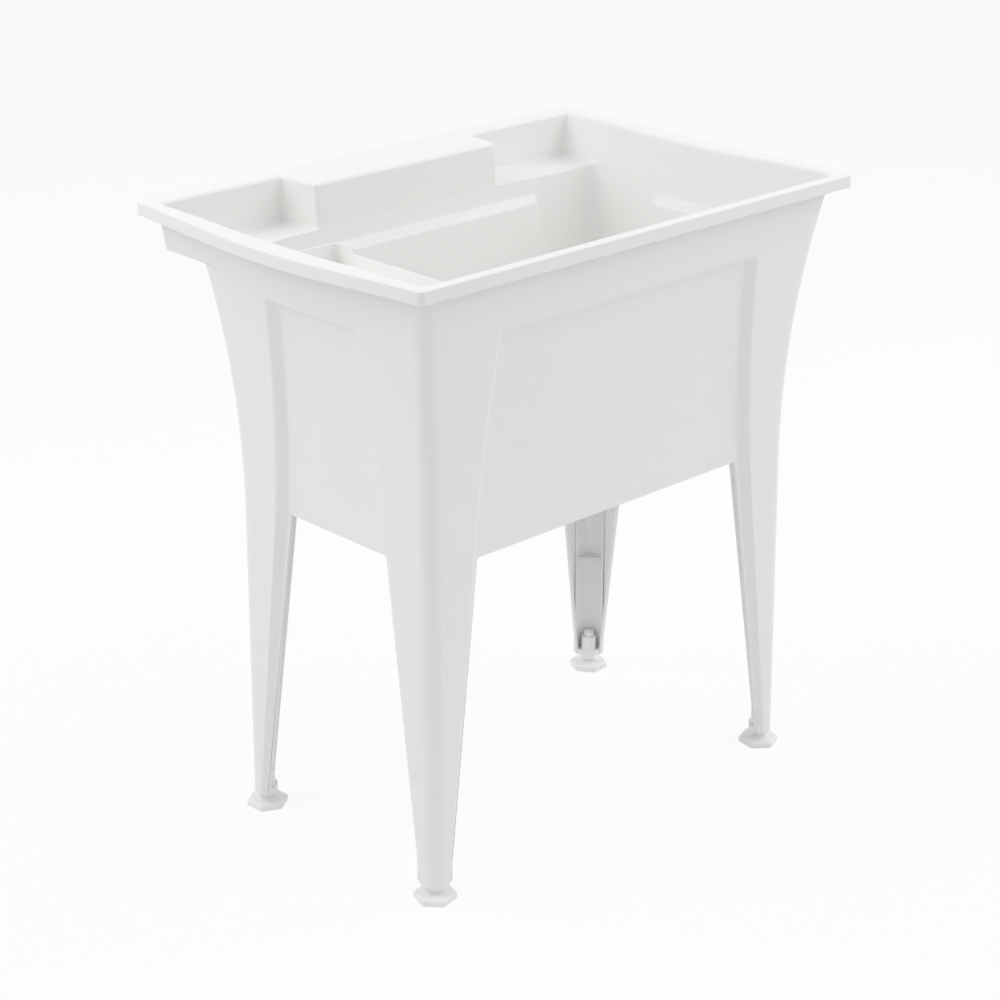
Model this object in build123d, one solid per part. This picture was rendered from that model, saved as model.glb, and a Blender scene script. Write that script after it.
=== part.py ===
from build123d import *
import math
import os

# Utility laundry sink: a moulded tub on four legs with levelling feet, and a drain with a rubber stopper.
# Millimetres, +Z up.  The origin is on the floor, under the middle of the rim; the front faces -Y.

# ---- tub: plan, height and skin ----
RIM_WIDTH = 813.0          # rim, corner to corner, along X
RIM_DEPTH = 584.0          # rim, corner to corner, along Y
RIM_HEIGHT = 895.0         # floor to the top of the rim
RIM_BOW = 16.0             # how far each side rim swells out past its corners
RIM_SAG = 5.0              # how far each side rim dips at its middle
RIM_SAG_END = 30.0         # the dip starts this far from the rim's front and back
SAG_WIDTH = 100.0          # how far in from the sides the dip is drawn
LIP_HEIGHT = 18.0          # turned-down edge of the rim
LIP_CORNER = 9.0           # plan radius of the rim's corners
WALL = 4.0                 # moulded wall of the tub and the legs

RIM_OVERHANG = 15.2        # how far the rim stands out past the walls, at the front and sides
BODY_SETBACK = 128.0       # from the rim's back to the back wall, at the seam
SEAM_HEIGHT = 483.0        # where the lower legs meet the tub
FLARE_RADIUS = 2100.0      # the walls curve outwards from the seam up
CORNER_RADIUS = 22.0       # outer radius of the columns
CORNER_LEAN = 1.5          # degrees by which the rounding tools leave the walls, so that they cut them cleanly
CORNER_SLACK = 0.03        # how far they stand inside the walls at the seam
CORNER_REACH = 25.0        # how far they run on along the walls

# ---- recessed panels between the columns ----
PANEL_DEPTH = 12.8
PANEL_BELOW_RIM = 92.0     # outer edge of the recess, below the top of the rim
PANEL_DROP = 8.0           # how far its top slope falls over the recess depth
POCKET_RISE = 20.0         # how far the curved walls of the recess are drawn past its top
FRONT_COLUMN_TOP = 105.6   # recess edge on the front and back, in from the body's side at the seam
FRONT_COLUMN_FOOT = 77.6
SIDE_COLUMN_TOP = 108.5    # recess edge on the sides, in from the body's front at the seam
SIDE_COLUMN_FOOT = 82.0

# ---- back shelves and tap deck ----
SHELF_DEPTH = 65.0         # floor of the two shelves, below the top of the rim
SHELF_FRONT_INSET = 100.0  # front of the deck at the rim, from the rim's back
SHELF_BACK_INSET = 32.0    # rear wall of the shelves, inside, from the rim's back
DECK_FRONT_HALF = 172.0    # half width of the deck at its front edge
DECK_BACK_HALF = 180.0     # half width of the deck where it joins the back rim

# ---- basin floor and drain ----
FLOOR_RISE = 77.0          # basin floor at the walls, above the seam
FLOOR_FALL = 6.0           # fall of the floor to the drain
DRAIN_HOLE = 52.0
DRAIN_SEAT = 96.0          # flat seat round the drain hole
SEAT_CORNER = 20.0
FALL_EDGE = 30.0           # the floor is level this far in from the walls
FALL_CORNER = 60.0
RIB_THICKNESS = 3.0
RIB_DEPTH = 14.0           # ribs and drain ring under the floor
WELL_CLEARANCE = 11.0      # inside of the ring under the drain, from the seal's edge

# ---- lower legs ----
LEG_FOOT_HEIGHT = 24.0     # underside of the leg's walls
LEG_SPLAY = 3.5            # outward lean between the seam and the floor, each way
LEG_FACE_FOOT = 29.0       # face width at the bottom
LEG_BEVEL_FOOT = 7.0
EDGE_ROUND = 3.0           # rounding where a face turns into its bevel
LEG_FLANGE_TOP = 6.0
LEG_FLANGE_FOOT = 2.0
LEG_RIB_PLACE = 36.0       # inner stiffening ribs, from the outer faces
LEG_RIB_HEIGHT = 3.5
LEG_RIB_END = 23.0         # the ribs stop this far below the seam
LEG_WEB_THICKNESS = 3.0
LEG_WEB_HEIGHTS = (190.0, 335.0)
TONGUE_HEIGHT = 45.0       # part of the leg that plugs into the tub
TONGUE_WALL = 3.5
TONGUE_LENGTH = 58.0
TONGUE_ROOT = 28.0         # overlap of tongue and leg, below the seam
PLUG_CLEARANCE = 0.3
SOCKET_GAP = 3.0           # the socket's inner wall from the seam, and its stays from the tongue
SOCKET_REACH = 8.0         # the inner wall runs this far past the tongue

# ---- levelling feet ----
FOOT_INSET = 19.0          # stem axis from the leg's outer faces
HEX_ACROSS_FLATS = 53.0
HEX_HEIGHT = 9.5
HEX_CHAMFER = 2.0
FOOT_DOME = 3.0            # height of the sloped collar round the stem
COLLAR_FOOT = 30.0         # the collar across its flats, at its bottom and top
COLLAR_TOP = 18.0
STEM_DIAMETER = 16.0
STEM_TOP = 62.0
STEM_CLEARANCE = 0.3
FOOT_BOSS_DIAMETER = 24.0
FOOT_BOSS_TOP = 54.0
FOOT_PLATE = 8.0
PLATE_REACH = 30.0         # how far the foot plate bulges inwards, from the outer faces
PAD_LENGTH = 31.0          # oblong pad under the leg, along its diagonal
PAD_WIDTH = 20.0
PAD_HEIGHT = 6.0
FOOT_TURNS = {"front_left": 12.0, "front_right": 40.0, "rear_left": 26.0, "rear_right": 5.0}

# ---- leg screws ----
SCREW_SHANK = 4.0
SCREW_LENGTH = 7.0
SCREW_HEAD = 8.0           # across flats
SCREW_HEAD_HEIGHT = 3.0
SCREW_CLEARANCE = 0.15
SCREW_TIP_GAP = 0.5        # space in the hole past the screw's end
SCREW_HEIGHT = SEAM_HEIGHT + 24.0
SCREW_PLACE = 34.0         # from the leg's corner, along each face

# ---- drain fittings ----
DRAIN_FLANGE = 90.0
DRAIN_FLANGE_THICKNESS = 4.0
FLANGE_SLOPE = 6.0         # width of the flange's sloped edge
FLANGE_EDGE = 1.2          # its thickness at the very edge
DRAIN_PIPE = 48.3          # outside diameter of the threaded outlet
DRAIN_BORE = 40.0
DRAIN_LENGTH = 62.0        # from the top of the flange to the end of the thread
SEAL_DIAMETER = 76.0
SEAL_THICKNESS = 3.0
FRICTION_THICKNESS = 1.2
FRICTION_INSET = 1.0       # its edge stands in from the seal's
LOCKNUT_DIAMETER = 70.0
LOCKNUT_HEIGHT = 12.0
LOCKNUT_STEP = 5.0
LOCKNUT_RIM = 3.0
LUG_COUNT = 8
LUG_LENGTH = 7.0
LUG_WIDTH = 8.0
THREAD_STEP = 0.3          # the thread's free end stands this proud of its part inside the nut
THREAD_STEP_GAP = 0.5      # the step's distance below the nut
BAR_WIDTH = 3.0            # crossbars in the drain
BAR_HEIGHT = 6.0
BAR_DROP = 5.0             # middle of the bars below the cup
DRAIN_CLEARANCE = 0.3
STOPPER_DIAMETER = 42.0
STOPPER_BRIM = 52.0
BRIM_THICKNESS = 3.0
STOPPER_HEIGHT = 16.0
RING_RADIUS = 11.0         # finger ring on the stopper
RING_WIDTH = 4.0
RING_SINK = 1.3            # how far the ring runs into the plug

MARGIN = 60.0              # how far the cutting tools run past the shape
OVERLAP = 1.0              # how far joined pieces run into each other, and short cuts past them

# ---- places that follow from the sizes above ----
BODY_TOP_FLARE = FLARE_RADIUS - math.sqrt(FLARE_RADIUS**2 - (RIM_HEIGHT - SEAM_HEIGHT) ** 2)
BODY_WIDTH = RIM_WIDTH - 2 * (RIM_OVERHANG + BODY_TOP_FLARE)
BODY_FRONT = -RIM_DEPTH / 2 + RIM_OVERHANG + BODY_TOP_FLARE
BODY_BACK = RIM_DEPTH / 2 - BODY_SETBACK
BODY_DEPTH = BODY_BACK - BODY_FRONT
BODY_OFFSET = (BODY_FRONT + BODY_BACK) / 2
PANEL_TOP = RIM_HEIGHT - PANEL_BELOW_RIM
SHELF_HEIGHT = RIM_HEIGHT - SHELF_DEPTH
SHELF_FRONT = RIM_DEPTH / 2 - SHELF_FRONT_INSET
SHELF_BACK = RIM_DEPTH / 2 - SHELF_BACK_INSET
FLOOR_HEIGHT = SEAM_HEIGHT + FLOOR_RISE
DRAIN_AT = (0.0, BODY_OFFSET)


def flare(z):
    """How far the walls have curved out at height z."""
    rise = max(z - SEAM_HEIGHT, 0.0)
    return FLARE_RADIUS - math.sqrt(FLARE_RADIUS**2 - rise**2)


def flared_side(half, inset):
    """Points and arc of one flared wall: from the seam to the rim, set in by inset."""
    middle = (SEAM_HEIGHT + RIM_HEIGHT) / 2
    return [
        (half - inset, SEAM_HEIGHT),
        (half + flare(middle) - inset, middle),
        (half + BODY_TOP_FLARE - inset, RIM_HEIGHT),
    ]


def width_profile(inset):
    """Section across the tub, both sides flared, as a face on XZ."""
    right = flared_side(BODY_WIDTH / 2, inset)
    left = [(-x, z) for x, z in right]
    edges = [
        Line(left[0], right[0]),
        ThreePointArc(*right),
        Line(right[2], left[2]),
        ThreePointArc(*reversed(left)),
    ]
    return Plane.XZ * make_face(edges)


def depth_profile(inset):
    """Section front to back: the back wall turns upright where the shelves begin."""
    front = [(-x, z) for x, z in flared_side(BODY_DEPTH / 2, inset)]
    half = BODY_DEPTH / 2
    middle = (SEAM_HEIGHT + SHELF_HEIGHT) / 2
    back = [
        (half - inset, SEAM_HEIGHT),
        (half + flare(middle) - inset, middle),
        (half + flare(SHELF_HEIGHT) - inset, SHELF_HEIGHT),
        (SHELF_FRONT - BODY_OFFSET + WALL - inset, RIM_HEIGHT),
    ]
    edges = [
        Line(front[0], back[0]),
        ThreePointArc(*back[:3]),
        Line(back[2], back[3]),
        Line(back[3], front[2]),
        ThreePointArc(*reversed(front)),
    ]
    return Plane.YZ * make_face(edges)


def corner_cutter(inset):
    """What rounds the front left column: part of a ring that leans out with the walls' flare."""
    radius = CORNER_RADIUS - inset
    x = -BODY_WIDTH / 2 + inset
    y = BODY_OFFSET - BODY_DEPTH / 2 + inset
    shift = CORNER_SLACK - CORNER_REACH * math.tan(math.radians(CORNER_LEAN))
    middle = radius - (radius - CORNER_SLACK) / math.sqrt(2)
    far = radius + CORNER_REACH
    edges = [
        Line((x + shift, y + far), (x + CORNER_SLACK, y + radius)),
        ThreePointArc((x + CORNER_SLACK, y + radius), (x + middle, y + middle), (x + radius, y + CORNER_SLACK)),
        Line((x + radius, y + CORNER_SLACK), (x + far, y + shift)),
        Line((x + far, y + shift), (x + far, y - CORNER_REACH)),
        Line((x + far, y - CORNER_REACH), (x - CORNER_REACH, y - CORNER_REACH)),
        Line((x - CORNER_REACH, y - CORNER_REACH), (x - CORNER_REACH, y + far)),
        Line((x - CORNER_REACH, y + far), (x + shift, y + far)),
    ]
    rise = RIM_HEIGHT - SEAM_HEIGHT
    lean_out = BODY_TOP_FLARE * math.sqrt(2)
    swing = (rise**2 + lean_out**2) / (2 * lean_out)
    pivot = middle - swing / math.sqrt(2)
    axis = Axis((x + pivot, y + pivot, SEAM_HEIGHT), (1, -1, 0))
    sweep_angle = math.degrees(math.asin((rise + CORNER_REACH) / (swing - 2 * CORNER_REACH)))
    return revolve(Pos(0, 0, SEAM_HEIGHT) * make_face(edges), axis, sweep_angle)


def flared_body(inset):
    """The tub's outer block (inset 0) or the space inside its walls (inset WALL)."""
    along_y = Pos(0, BODY_OFFSET, 0) * extrude(width_profile(inset), amount=RIM_DEPTH / 2, both=True)
    along_x = Pos(0, BODY_OFFSET, 0) * extrude(depth_profile(inset), amount=RIM_WIDTH / 2, both=True)
    block = along_x & along_y
    front = corner_cutter(inset)
    under_shelf = Pos(0, 0, SHELF_HEIGHT - WALL + inset) * Box(
        2 * RIM_WIDTH, 2 * RIM_DEPTH, RIM_HEIGHT, align=(Align.CENTER, Align.CENTER, Align.MAX)
    )
    rear = mirrored(front, -1, 1) & under_shelf
    for side in (-1, 1):
        block = block - mirrored(front, side, -1) - mirrored(rear, side, -1)
    return block


def panel_pocket(face, half_top, half_foot, wall):
    """Recess of one side, drawn as if it were the front: sides bevelled at 45 degrees, top sloped.

    wall is 0 for the recess itself and WALL for the space its moulded back takes up inside.
    """
    low = SEAM_HEIGHT - MARGIN
    heights = (SEAM_HEIGHT, (SEAM_HEIGHT + PANEL_TOP) / 2, PANEL_TOP + POCKET_RISE)
    diagonal = math.sqrt(2)
    bevel = []
    back = []
    for z in heights:
        share = (z - SEAM_HEIGHT) / (PANEL_TOP - SEAM_HEIGHT)
        half = half_foot + (half_top - half_foot) * share + wall * diagonal
        surface = -face - flare(z)
        bevel.append(((half + surface) / diagonal, z))
        back.append((surface + PANEL_DEPTH + wall, z))
    slope = PANEL_DROP / PANEL_DEPTH
    lift = wall * math.hypot(PANEL_DEPTH, PANEL_DROP) / PANEL_DEPTH
    edge_y = -face - flare(PANEL_TOP)
    top_line = PANEL_TOP + lift
    under_slope = Polyline(
        (edge_y - MARGIN, low),
        (edge_y + MARGIN, low),
        (edge_y + MARGIN, top_line - slope * MARGIN),
        (edge_y - MARGIN, top_line + slope * MARGIN),
        close=True,
    )
    pocket = extrude(Plane.YZ * make_face(under_slope), amount=RIM_WIDTH, both=True)
    pocket = pocket & extrude(Plane.YZ * behind_curve(back, low), amount=RIM_WIDTH, both=True)
    across = Plane((0, 0, 0), x_dir=(1, 1, 0), z_dir=(1, -1, 0))
    side = extrude(across * behind_curve(bevel, low), amount=RIM_WIDTH, both=True)
    return pocket & side & mirror(side, about=Plane.YZ)


def behind_curve(points, low):
    """The face on the near side of a curved wall, from below the seam to its last point."""
    far = points[0][0] - RIM_WIDTH
    edges = [
        Line((far, low), (points[0][0], low)),
        Line((points[0][0], low), points[0]),
        ThreePointArc(*points),
        Line(points[2], (far, points[2][1])),
        Line((far, points[2][1]), (far, low)),
    ]
    return make_face(edges)


def panel_pockets(wall):
    """The four recesses round the body."""
    pockets = []
    for turn in range(4):
        if turn % 2:
            half = BODY_DEPTH / 2
            pocket = panel_pocket(BODY_WIDTH / 2, half - SIDE_COLUMN_TOP, half - SIDE_COLUMN_FOOT, wall)
        else:
            half = BODY_WIDTH / 2
            pocket = panel_pocket(BODY_DEPTH / 2, half - FRONT_COLUMN_TOP, half - FRONT_COLUMN_FOOT, wall)
        pockets.append(Pos(0, BODY_OFFSET, 0) * Rot(0, 0, 90 * turn) * pocket)
    return pockets


def rim_plan(inset):
    """Outline of the rim, its two sides swelling outwards."""
    x = RIM_WIDTH / 2 - inset
    y = RIM_DEPTH / 2 - inset
    edges = [
        Line((-x, -y), (x, -y)),
        ThreePointArc((x, -y), (x + RIM_BOW, 0), (x, y)),
        Line((x, y), (-x, y)),
        ThreePointArc((-x, y), (-x - RIM_BOW, 0), (-x, -y)),
    ]
    plan = make_face(edges)
    return fillet(plan.vertices(), LIP_CORNER - inset / 2)


def sag_line(height):
    """The dip of the side rims, front to back, as three arcs that run on from the level ends."""
    end = RIM_DEPTH / 2 - RIM_SAG_END
    start = (-end, height)
    front = (-end / 2, height - RIM_SAG / 2)
    back = (end / 2, height - RIM_SAG / 2)
    return [
        ThreePointArc(start, (-0.75 * end, height - RIM_SAG / 8), front),
        ThreePointArc(front, (0, height - RIM_SAG), back),
        ThreePointArc(back, (0.75 * end, height - RIM_SAG / 8), (end, height)),
    ]


def side_strips(outline):
    """A front-to-back outline drawn out over the width of the left and the right rim."""
    strip = extrude(Plane.YZ * make_face(outline), amount=2 * SAG_WIDTH)
    left = Pos(-RIM_WIDTH / 2 - SAG_WIDTH, 0, 0) * strip
    return left, Pos(RIM_WIDTH / 2 - SAG_WIDTH, 0, 0) * strip


def sagging_band(low, high):
    """Everything between two heights, dipping by RIM_SAG along the two side rims."""
    reach = RIM_DEPTH
    end = RIM_DEPTH / 2 - RIM_SAG_END
    flat = Pos(0, 0, (low + high) / 2) * Box(RIM_WIDTH - 2 * SAG_WIDTH, 2 * reach, high - low)
    edges = sag_line(low) + sag_line(high) + [
        Line((-reach, low), (-end, low)),
        Line((end, low), (reach, low)),
        Line((reach, low), (reach, high)),
        Line((reach, high), (end, high)),
        Line((-end, high), (-reach, high)),
        Line((-reach, high), (-reach, low)),
    ]
    return flat, *side_strips(edges)


def rim_sag_cap():
    """What the dip of the side rims takes off the top of the walls below them."""
    end = RIM_DEPTH / 2 - RIM_SAG_END
    left, right = side_strips(sag_line(RIM_HEIGHT) + [Line((end, RIM_HEIGHT), (-end, RIM_HEIGHT))])
    return left + right


def rim_solid(inset, low, high):
    """The rim's plan between two heights, with the sag of its sides."""
    block = Pos(0, 0, low - MARGIN) * extrude(rim_plan(inset), amount=high - low + 2 * MARGIN)
    flat, left, right = sagging_band(low, high)
    return (block & flat) + (block & left) + (block & right)


def shelf_block(side, wall):
    """One shelf beside the deck: the outer box (wall WALL) or the space in it (wall 0)."""
    low = SHELF_HEIGHT - wall
    inner_front = DECK_FRONT_HALF - wall
    inner_back = DECK_BACK_HALF - wall
    front = BODY_DEPTH / 2 + BODY_OFFSET - MARGIN
    back = SHELF_BACK + wall
    slant = (inner_back - inner_front) / (SHELF_BACK - SHELF_FRONT)
    start = inner_front + slant * (front - SHELF_FRONT)
    end = inner_front + slant * (back - SHELF_FRONT)
    outline = Polyline(
        (side * start, front),
        (side * RIM_WIDTH, front),
        (side * RIM_WIDTH, back),
        (side * end, back),
        close=True,
    )
    block = Pos(0, 0, low) * extrude(make_face(outline), amount=RIM_HEIGHT - low)
    across = extrude(width_profile(WALL - wall), amount=RIM_DEPTH, both=True)
    return block & across


def frustum(low, high):
    """A solid with flat sides between two outlines, corner for corner."""
    faces = [Face(Wire.make_polygon(low)), Face(Wire.make_polygon(high))]
    for i in range(len(low)):
        j = (i + 1) % len(low)
        faces.append(Face(Wire.make_polygon([low[i], low[j], high[j], high[i]])))
    return Solid(Shell(faces))


def cut_rectangle(half_x, half_y, corner, z):
    """Outline round the basin's middle with its corners cut off at 45 degrees."""
    quarter = [(half_x, half_y - corner), (half_x - corner, half_y)]
    right = [(x, -y) for x, y in reversed(quarter)] + quarter
    left = [(-x, -y) for x, y in right]
    return [(x, y + BODY_OFFSET, z) for x, y in right + left]


def basin_floor():
    """Floor slab of the basin with its fall to the drain, the drain seat and the ribs below."""
    wide = BODY_WIDTH + 2 * MARGIN
    deep = BODY_DEPTH + 2 * MARGIN
    seat = FLOOR_HEIGHT - FLOOR_FALL
    flat = DRAIN_SEAT / 2
    top = frustum(
        cut_rectangle(flat, flat, SEAT_CORNER, seat),
        cut_rectangle(BODY_WIDTH / 2 - FALL_EDGE, BODY_DEPTH / 2 - FALL_EDGE, FALL_CORNER, FLOOR_HEIGHT),
    )
    slab = Pos(0, BODY_OFFSET, (seat - WALL + FLOOR_HEIGHT) / 2) * Box(wide, deep, FLOOR_FALL + WALL)
    slab = slab - top
    for turn in (0, 90):
        rib = Pos(0, BODY_OFFSET, seat - WALL - RIB_DEPTH / 2) * Box(RIB_THICKNESS, wide, RIB_DEPTH)
        slab = slab + rib.rotate(Axis((0, BODY_OFFSET, 0), (0, 0, 1)), turn)
    ring = Pos(0, BODY_OFFSET, seat - WALL - RIB_DEPTH) * Cylinder(
        SEAL_DIAMETER / 2 + WELL_CLEARANCE + RIB_THICKNESS, RIB_DEPTH, align=(Align.CENTER, Align.CENTER, Align.MIN)
    )
    slab = slab + ring
    well = Pos(0, BODY_OFFSET, seat - WALL - RIB_DEPTH) * Cylinder(
        SEAL_DIAMETER / 2 + WELL_CLEARANCE, RIB_DEPTH, align=(Align.CENTER, Align.CENTER, Align.MIN)
    )
    hole = Pos(0, BODY_OFFSET, seat) * Cylinder(DRAIN_HOLE / 2, MARGIN)
    return slab - well - hole


def mirrored(solid, side_x, side_y):
    """A corner shape drawn for the front left, put at another corner."""
    if side_x > 0:
        solid = mirror(solid, about=Plane.YZ)
    if side_y > 0:
        solid = mirror(solid, about=Plane.XZ.offset(-BODY_OFFSET))
    return solid


def corner_point(a, b, z):
    """A point of the front left leg, a and b in from its outer faces at height z."""
    splay = LEG_SPLAY * (SEAM_HEIGHT - z) / SEAM_HEIGHT
    return (-BODY_WIDTH / 2 - splay + a, BODY_OFFSET - BODY_DEPTH / 2 - splay + b, z)


def angle_strip(inner, outer, length, low, high):
    """An upright L at the front left corner, between two distances from the outer faces."""
    x = -BODY_WIDTH / 2
    y = BODY_OFFSET - BODY_DEPTH / 2
    outline = Polyline(
        (x + inner, y + inner),
        (x + length, y + inner),
        (x + length, y + outer),
        (x + outer, y + outer),
        (x + outer, y + length),
        (x + inner, y + length),
        close=True,
    )
    face = make_face(outline)
    nearest = face.vertices().sort_by_distance((x, y, 0))
    face = fillet(nearest[0], CORNER_RADIUS - inner)
    inside = face.vertices().sort_by_distance((x + outer, y + outer, 0))
    face = fillet(inside[0], CORNER_RADIUS - outer)
    return Pos(0, 0, low) * extrude(face, amount=high - low)


def screw_places():
    """Seat and direction of a leg's two screws, front left leg: each points at the outer face."""
    x = -BODY_WIDTH / 2
    y = BODY_OFFSET - BODY_DEPTH / 2
    seat = WALL + 2 * PLUG_CLEARANCE + TONGUE_WALL + RIB_THICKNESS
    return [
        Location((x + seat, y + SCREW_PLACE, SCREW_HEIGHT), (0, -90, 0)),
        Location((x + SCREW_PLACE, y + seat, SCREW_HEIGHT), (90, 0, 0)),
    ]


def screw_holes(radius):
    """Holes for the screws of the front left leg."""
    drill = Pos(0, 0, -OVERLAP) * Cylinder(
        radius, SCREW_LENGTH + OVERLAP + SCREW_TIP_GAP, align=(Align.CENTER, Align.CENTER, Align.MIN)
    )
    places = screw_places()
    return places[0] * drill + places[1] * drill


def leg_socket():
    """The inner wall under the tub that holds a leg's tongue against the column."""
    near = WALL + 2 * PLUG_CLEARANCE + TONGUE_WALL
    low = SEAM_HEIGHT + SOCKET_GAP
    high = FLOOR_HEIGHT - WALL
    strip = angle_strip(near, near + RIB_THICKNESS, TONGUE_LENGTH + SOCKET_REACH, low, high)
    strip = strip - screw_holes(SCREW_SHANK / 2 + 2 * SCREW_CLEARANCE)
    stay_low = SEAM_HEIGHT + TONGUE_HEIGHT + SOCKET_GAP
    root = WALL - OVERLAP
    past_tongue = TONGUE_LENGTH + SOCKET_GAP
    x = -BODY_WIDTH / 2
    y = BODY_OFFSET - BODY_DEPTH / 2
    for a, b, long_x, long_y in (
        (past_tongue, root, RIB_THICKNESS, near),
        (root, past_tongue, near, RIB_THICKNESS),
    ):
        end = Pos(x + a, y + b, low) * Box(
            long_x, long_y, high - low, align=(Align.MIN, Align.MIN, Align.MIN)
        )
        strip = strip + end
    bridge = angle_strip(root, near + OVERLAP, past_tongue + OVERLAP, stay_low, high)
    return strip + bridge


def make_tub():
    """The one-piece moulding: rim, deck, shelves, basin, skirt, columns and leg sockets."""
    rim = rim_solid(0, RIM_HEIGHT - LIP_HEIGHT, RIM_HEIGHT)
    rim = rim - rim_solid(WALL, RIM_HEIGHT - LIP_HEIGHT - OVERLAP, RIM_HEIGHT - WALL)
    shell = flared_body(0) - rim_sag_cap()
    for side in (-1, 1):
        shell = shell + (shelf_block(side, WALL) - rim_sag_cap())
    shell = shell + rim
    for pocket in panel_pockets(0):
        shell = shell - pocket
    cavity = flared_body(WALL)
    for pocket in panel_pockets(WALL):
        cavity = cavity - pocket
    cavity = cavity - basin_floor()
    for side in (-1, 1):
        cavity = cavity + shelf_block(side, 0)
    shell = shell - cavity
    for side_x in (-1, 1):
        for side_y in (-1, 1):
            shell = shell + mirrored(leg_socket(), side_x, side_y)
    return shell


def leg_outline(z, face_x, face_y, bevel, flange):
    """Corners of the front left leg's wall at height z: two faces, bevelled ends and flanges."""
    skew = WALL * math.tan(math.radians(22.5))
    side_x = [
        (face_x, 0),
        (face_x + bevel, bevel),
        (face_x + bevel + flange, bevel),
        (face_x + bevel + flange, bevel + WALL),
        (face_x + bevel - skew, bevel + WALL),
        (face_x - skew, WALL),
    ]
    side_y = [
        (WALL, face_y - skew),
        (bevel + WALL, face_y + bevel - skew),
        (bevel + WALL, face_y + bevel + flange),
        (bevel, face_y + bevel + flange),
        (bevel, face_y + bevel),
        (0, face_y),
    ]
    points = [(0, 0)] + side_x + [(WALL, WALL)] + side_y
    return [corner_point(a, b, z) for a, b in points]


def edge_at(solid, point):
    """The edge of a solid that passes nearest a point."""
    return solid.edges().sort_by_distance(point)[0]


def leg_rib(along_x):
    """A low rib inside the leg, upright along one of its faces."""
    near = LEG_RIB_PLACE - RIB_THICKNESS / 2
    far = LEG_RIB_PLACE + RIB_THICKNESS / 2
    low = WALL - OVERLAP
    high = WALL + LEG_RIB_HEIGHT
    points = [(near, low), (far, low), (far, high), (near, high)]
    if not along_x:
        points = [(b, a) for a, b in reversed(points)]
    ends = []
    for z in (LEG_FOOT_HEIGHT + 2 * OVERLAP, SEAM_HEIGHT - LEG_RIB_END):
        ends.append([corner_point(a, b, z) for a, b in points])
    return frustum(*ends)


def foot_axis(z):
    """Where a levelling foot's stem passes height z, front left leg."""
    return corner_point(FOOT_INSET, FOOT_INSET, LEG_FOOT_HEIGHT)[:2] + (z,)


def make_leg():
    """Lower leg, front left: tapering angle with bevelled edges, webs, foot boss and tongue."""
    face_x = FRONT_COLUMN_FOOT
    face_y = SIDE_COLUMN_FOOT
    top = leg_outline(SEAM_HEIGHT, face_x, face_y, PANEL_DEPTH, LEG_FLANGE_TOP)
    foot = leg_outline(LEG_FOOT_HEIGHT, LEG_FACE_FOOT, LEG_FACE_FOOT, LEG_BEVEL_FOOT, LEG_FLANGE_FOOT)
    leg = frustum(foot, top)
    middle = (SEAM_HEIGHT + LEG_FOOT_HEIGHT) / 2
    middle_x = (face_x + LEG_FACE_FOOT) / 2
    middle_y = (face_y + LEG_FACE_FOOT) / 2
    leg = fillet(edge_at(leg, corner_point(WALL, WALL, middle)), CORNER_RADIUS - WALL)
    leg = fillet(edge_at(leg, corner_point(0, 0, middle)), CORNER_RADIUS)
    soft = [edge_at(leg, corner_point(middle_x, 0, middle)), edge_at(leg, corner_point(0, middle_y, middle))]
    leg = fillet(soft, EDGE_ROUND)
    leg = leg + leg_rib(True) + leg_rib(False)
    edge = LEG_RIB_PLACE
    inner = WALL - OVERLAP
    for height in LEG_WEB_HEIGHTS:
        points = [(inner, inner), (edge, inner), (inner, edge)]
        web = make_face(Polyline(*[corner_point(a, b, height) for a, b in points], close=True))
        web = fillet(web.vertices().sort_by_distance(corner_point(0, 0, height))[0], CORNER_RADIUS - WALL)
        leg = leg + extrude(web, amount=LEG_WEB_THICKNESS, dir=(0, 0, 1))
    end = LEG_FACE_FOOT + LEG_BEVEL_FOOT
    z = LEG_FOOT_HEIGHT
    start = OVERLAP
    plate_edges = [
        Line(corner_point(start, start, z), corner_point(end, start, z)),
        Line(corner_point(end, start, z), corner_point(end, LEG_BEVEL_FOOT, z)),
        ThreePointArc(
            corner_point(end, LEG_BEVEL_FOOT, z),
            corner_point(PLATE_REACH, PLATE_REACH, z),
            corner_point(LEG_BEVEL_FOOT, end, z),
        ),
        Line(corner_point(LEG_BEVEL_FOOT, end, z), corner_point(start, end, z)),
        Line(corner_point(start, end, z), corner_point(start, start, z)),
    ]
    plate = extrude(make_face(plate_edges), amount=FOOT_PLATE, dir=(0, 0, 1))
    outside = extrude(leg_outside_plan(z), amount=FOOT_PLATE, dir=(0, 0, 1))
    leg = leg + (plate & outside)
    upright = (Align.CENTER, Align.CENTER, Align.MIN)
    boss = Pos(*foot_axis(z)) * Cylinder(FOOT_BOSS_DIAMETER / 2, FOOT_BOSS_TOP - z, align=upright)
    pad = Pos(*foot_axis(z - PAD_HEIGHT)) * Rot(0, 0, 45) * extrude(
        SlotOverall(PAD_LENGTH, PAD_WIDTH), amount=PAD_HEIGHT
    )
    bore = Pos(*foot_axis(0)) * Cylinder(STEM_DIAMETER / 2 + STEM_CLEARANCE, 2 * FOOT_BOSS_TOP)
    leg = leg + boss + pad - bore
    low = SEAM_HEIGHT - TONGUE_ROOT
    gap = WALL + PLUG_CLEARANCE
    root = angle_strip(WALL - OVERLAP / 2, gap + TONGUE_WALL, TONGUE_LENGTH, low, SEAM_HEIGHT)
    tongue = angle_strip(gap, gap + TONGUE_WALL, TONGUE_LENGTH, low, SEAM_HEIGHT + TONGUE_HEIGHT)
    pilot = screw_holes(SCREW_SHANK / 2 + SCREW_CLEARANCE)
    return leg + root + tongue - pilot


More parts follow.
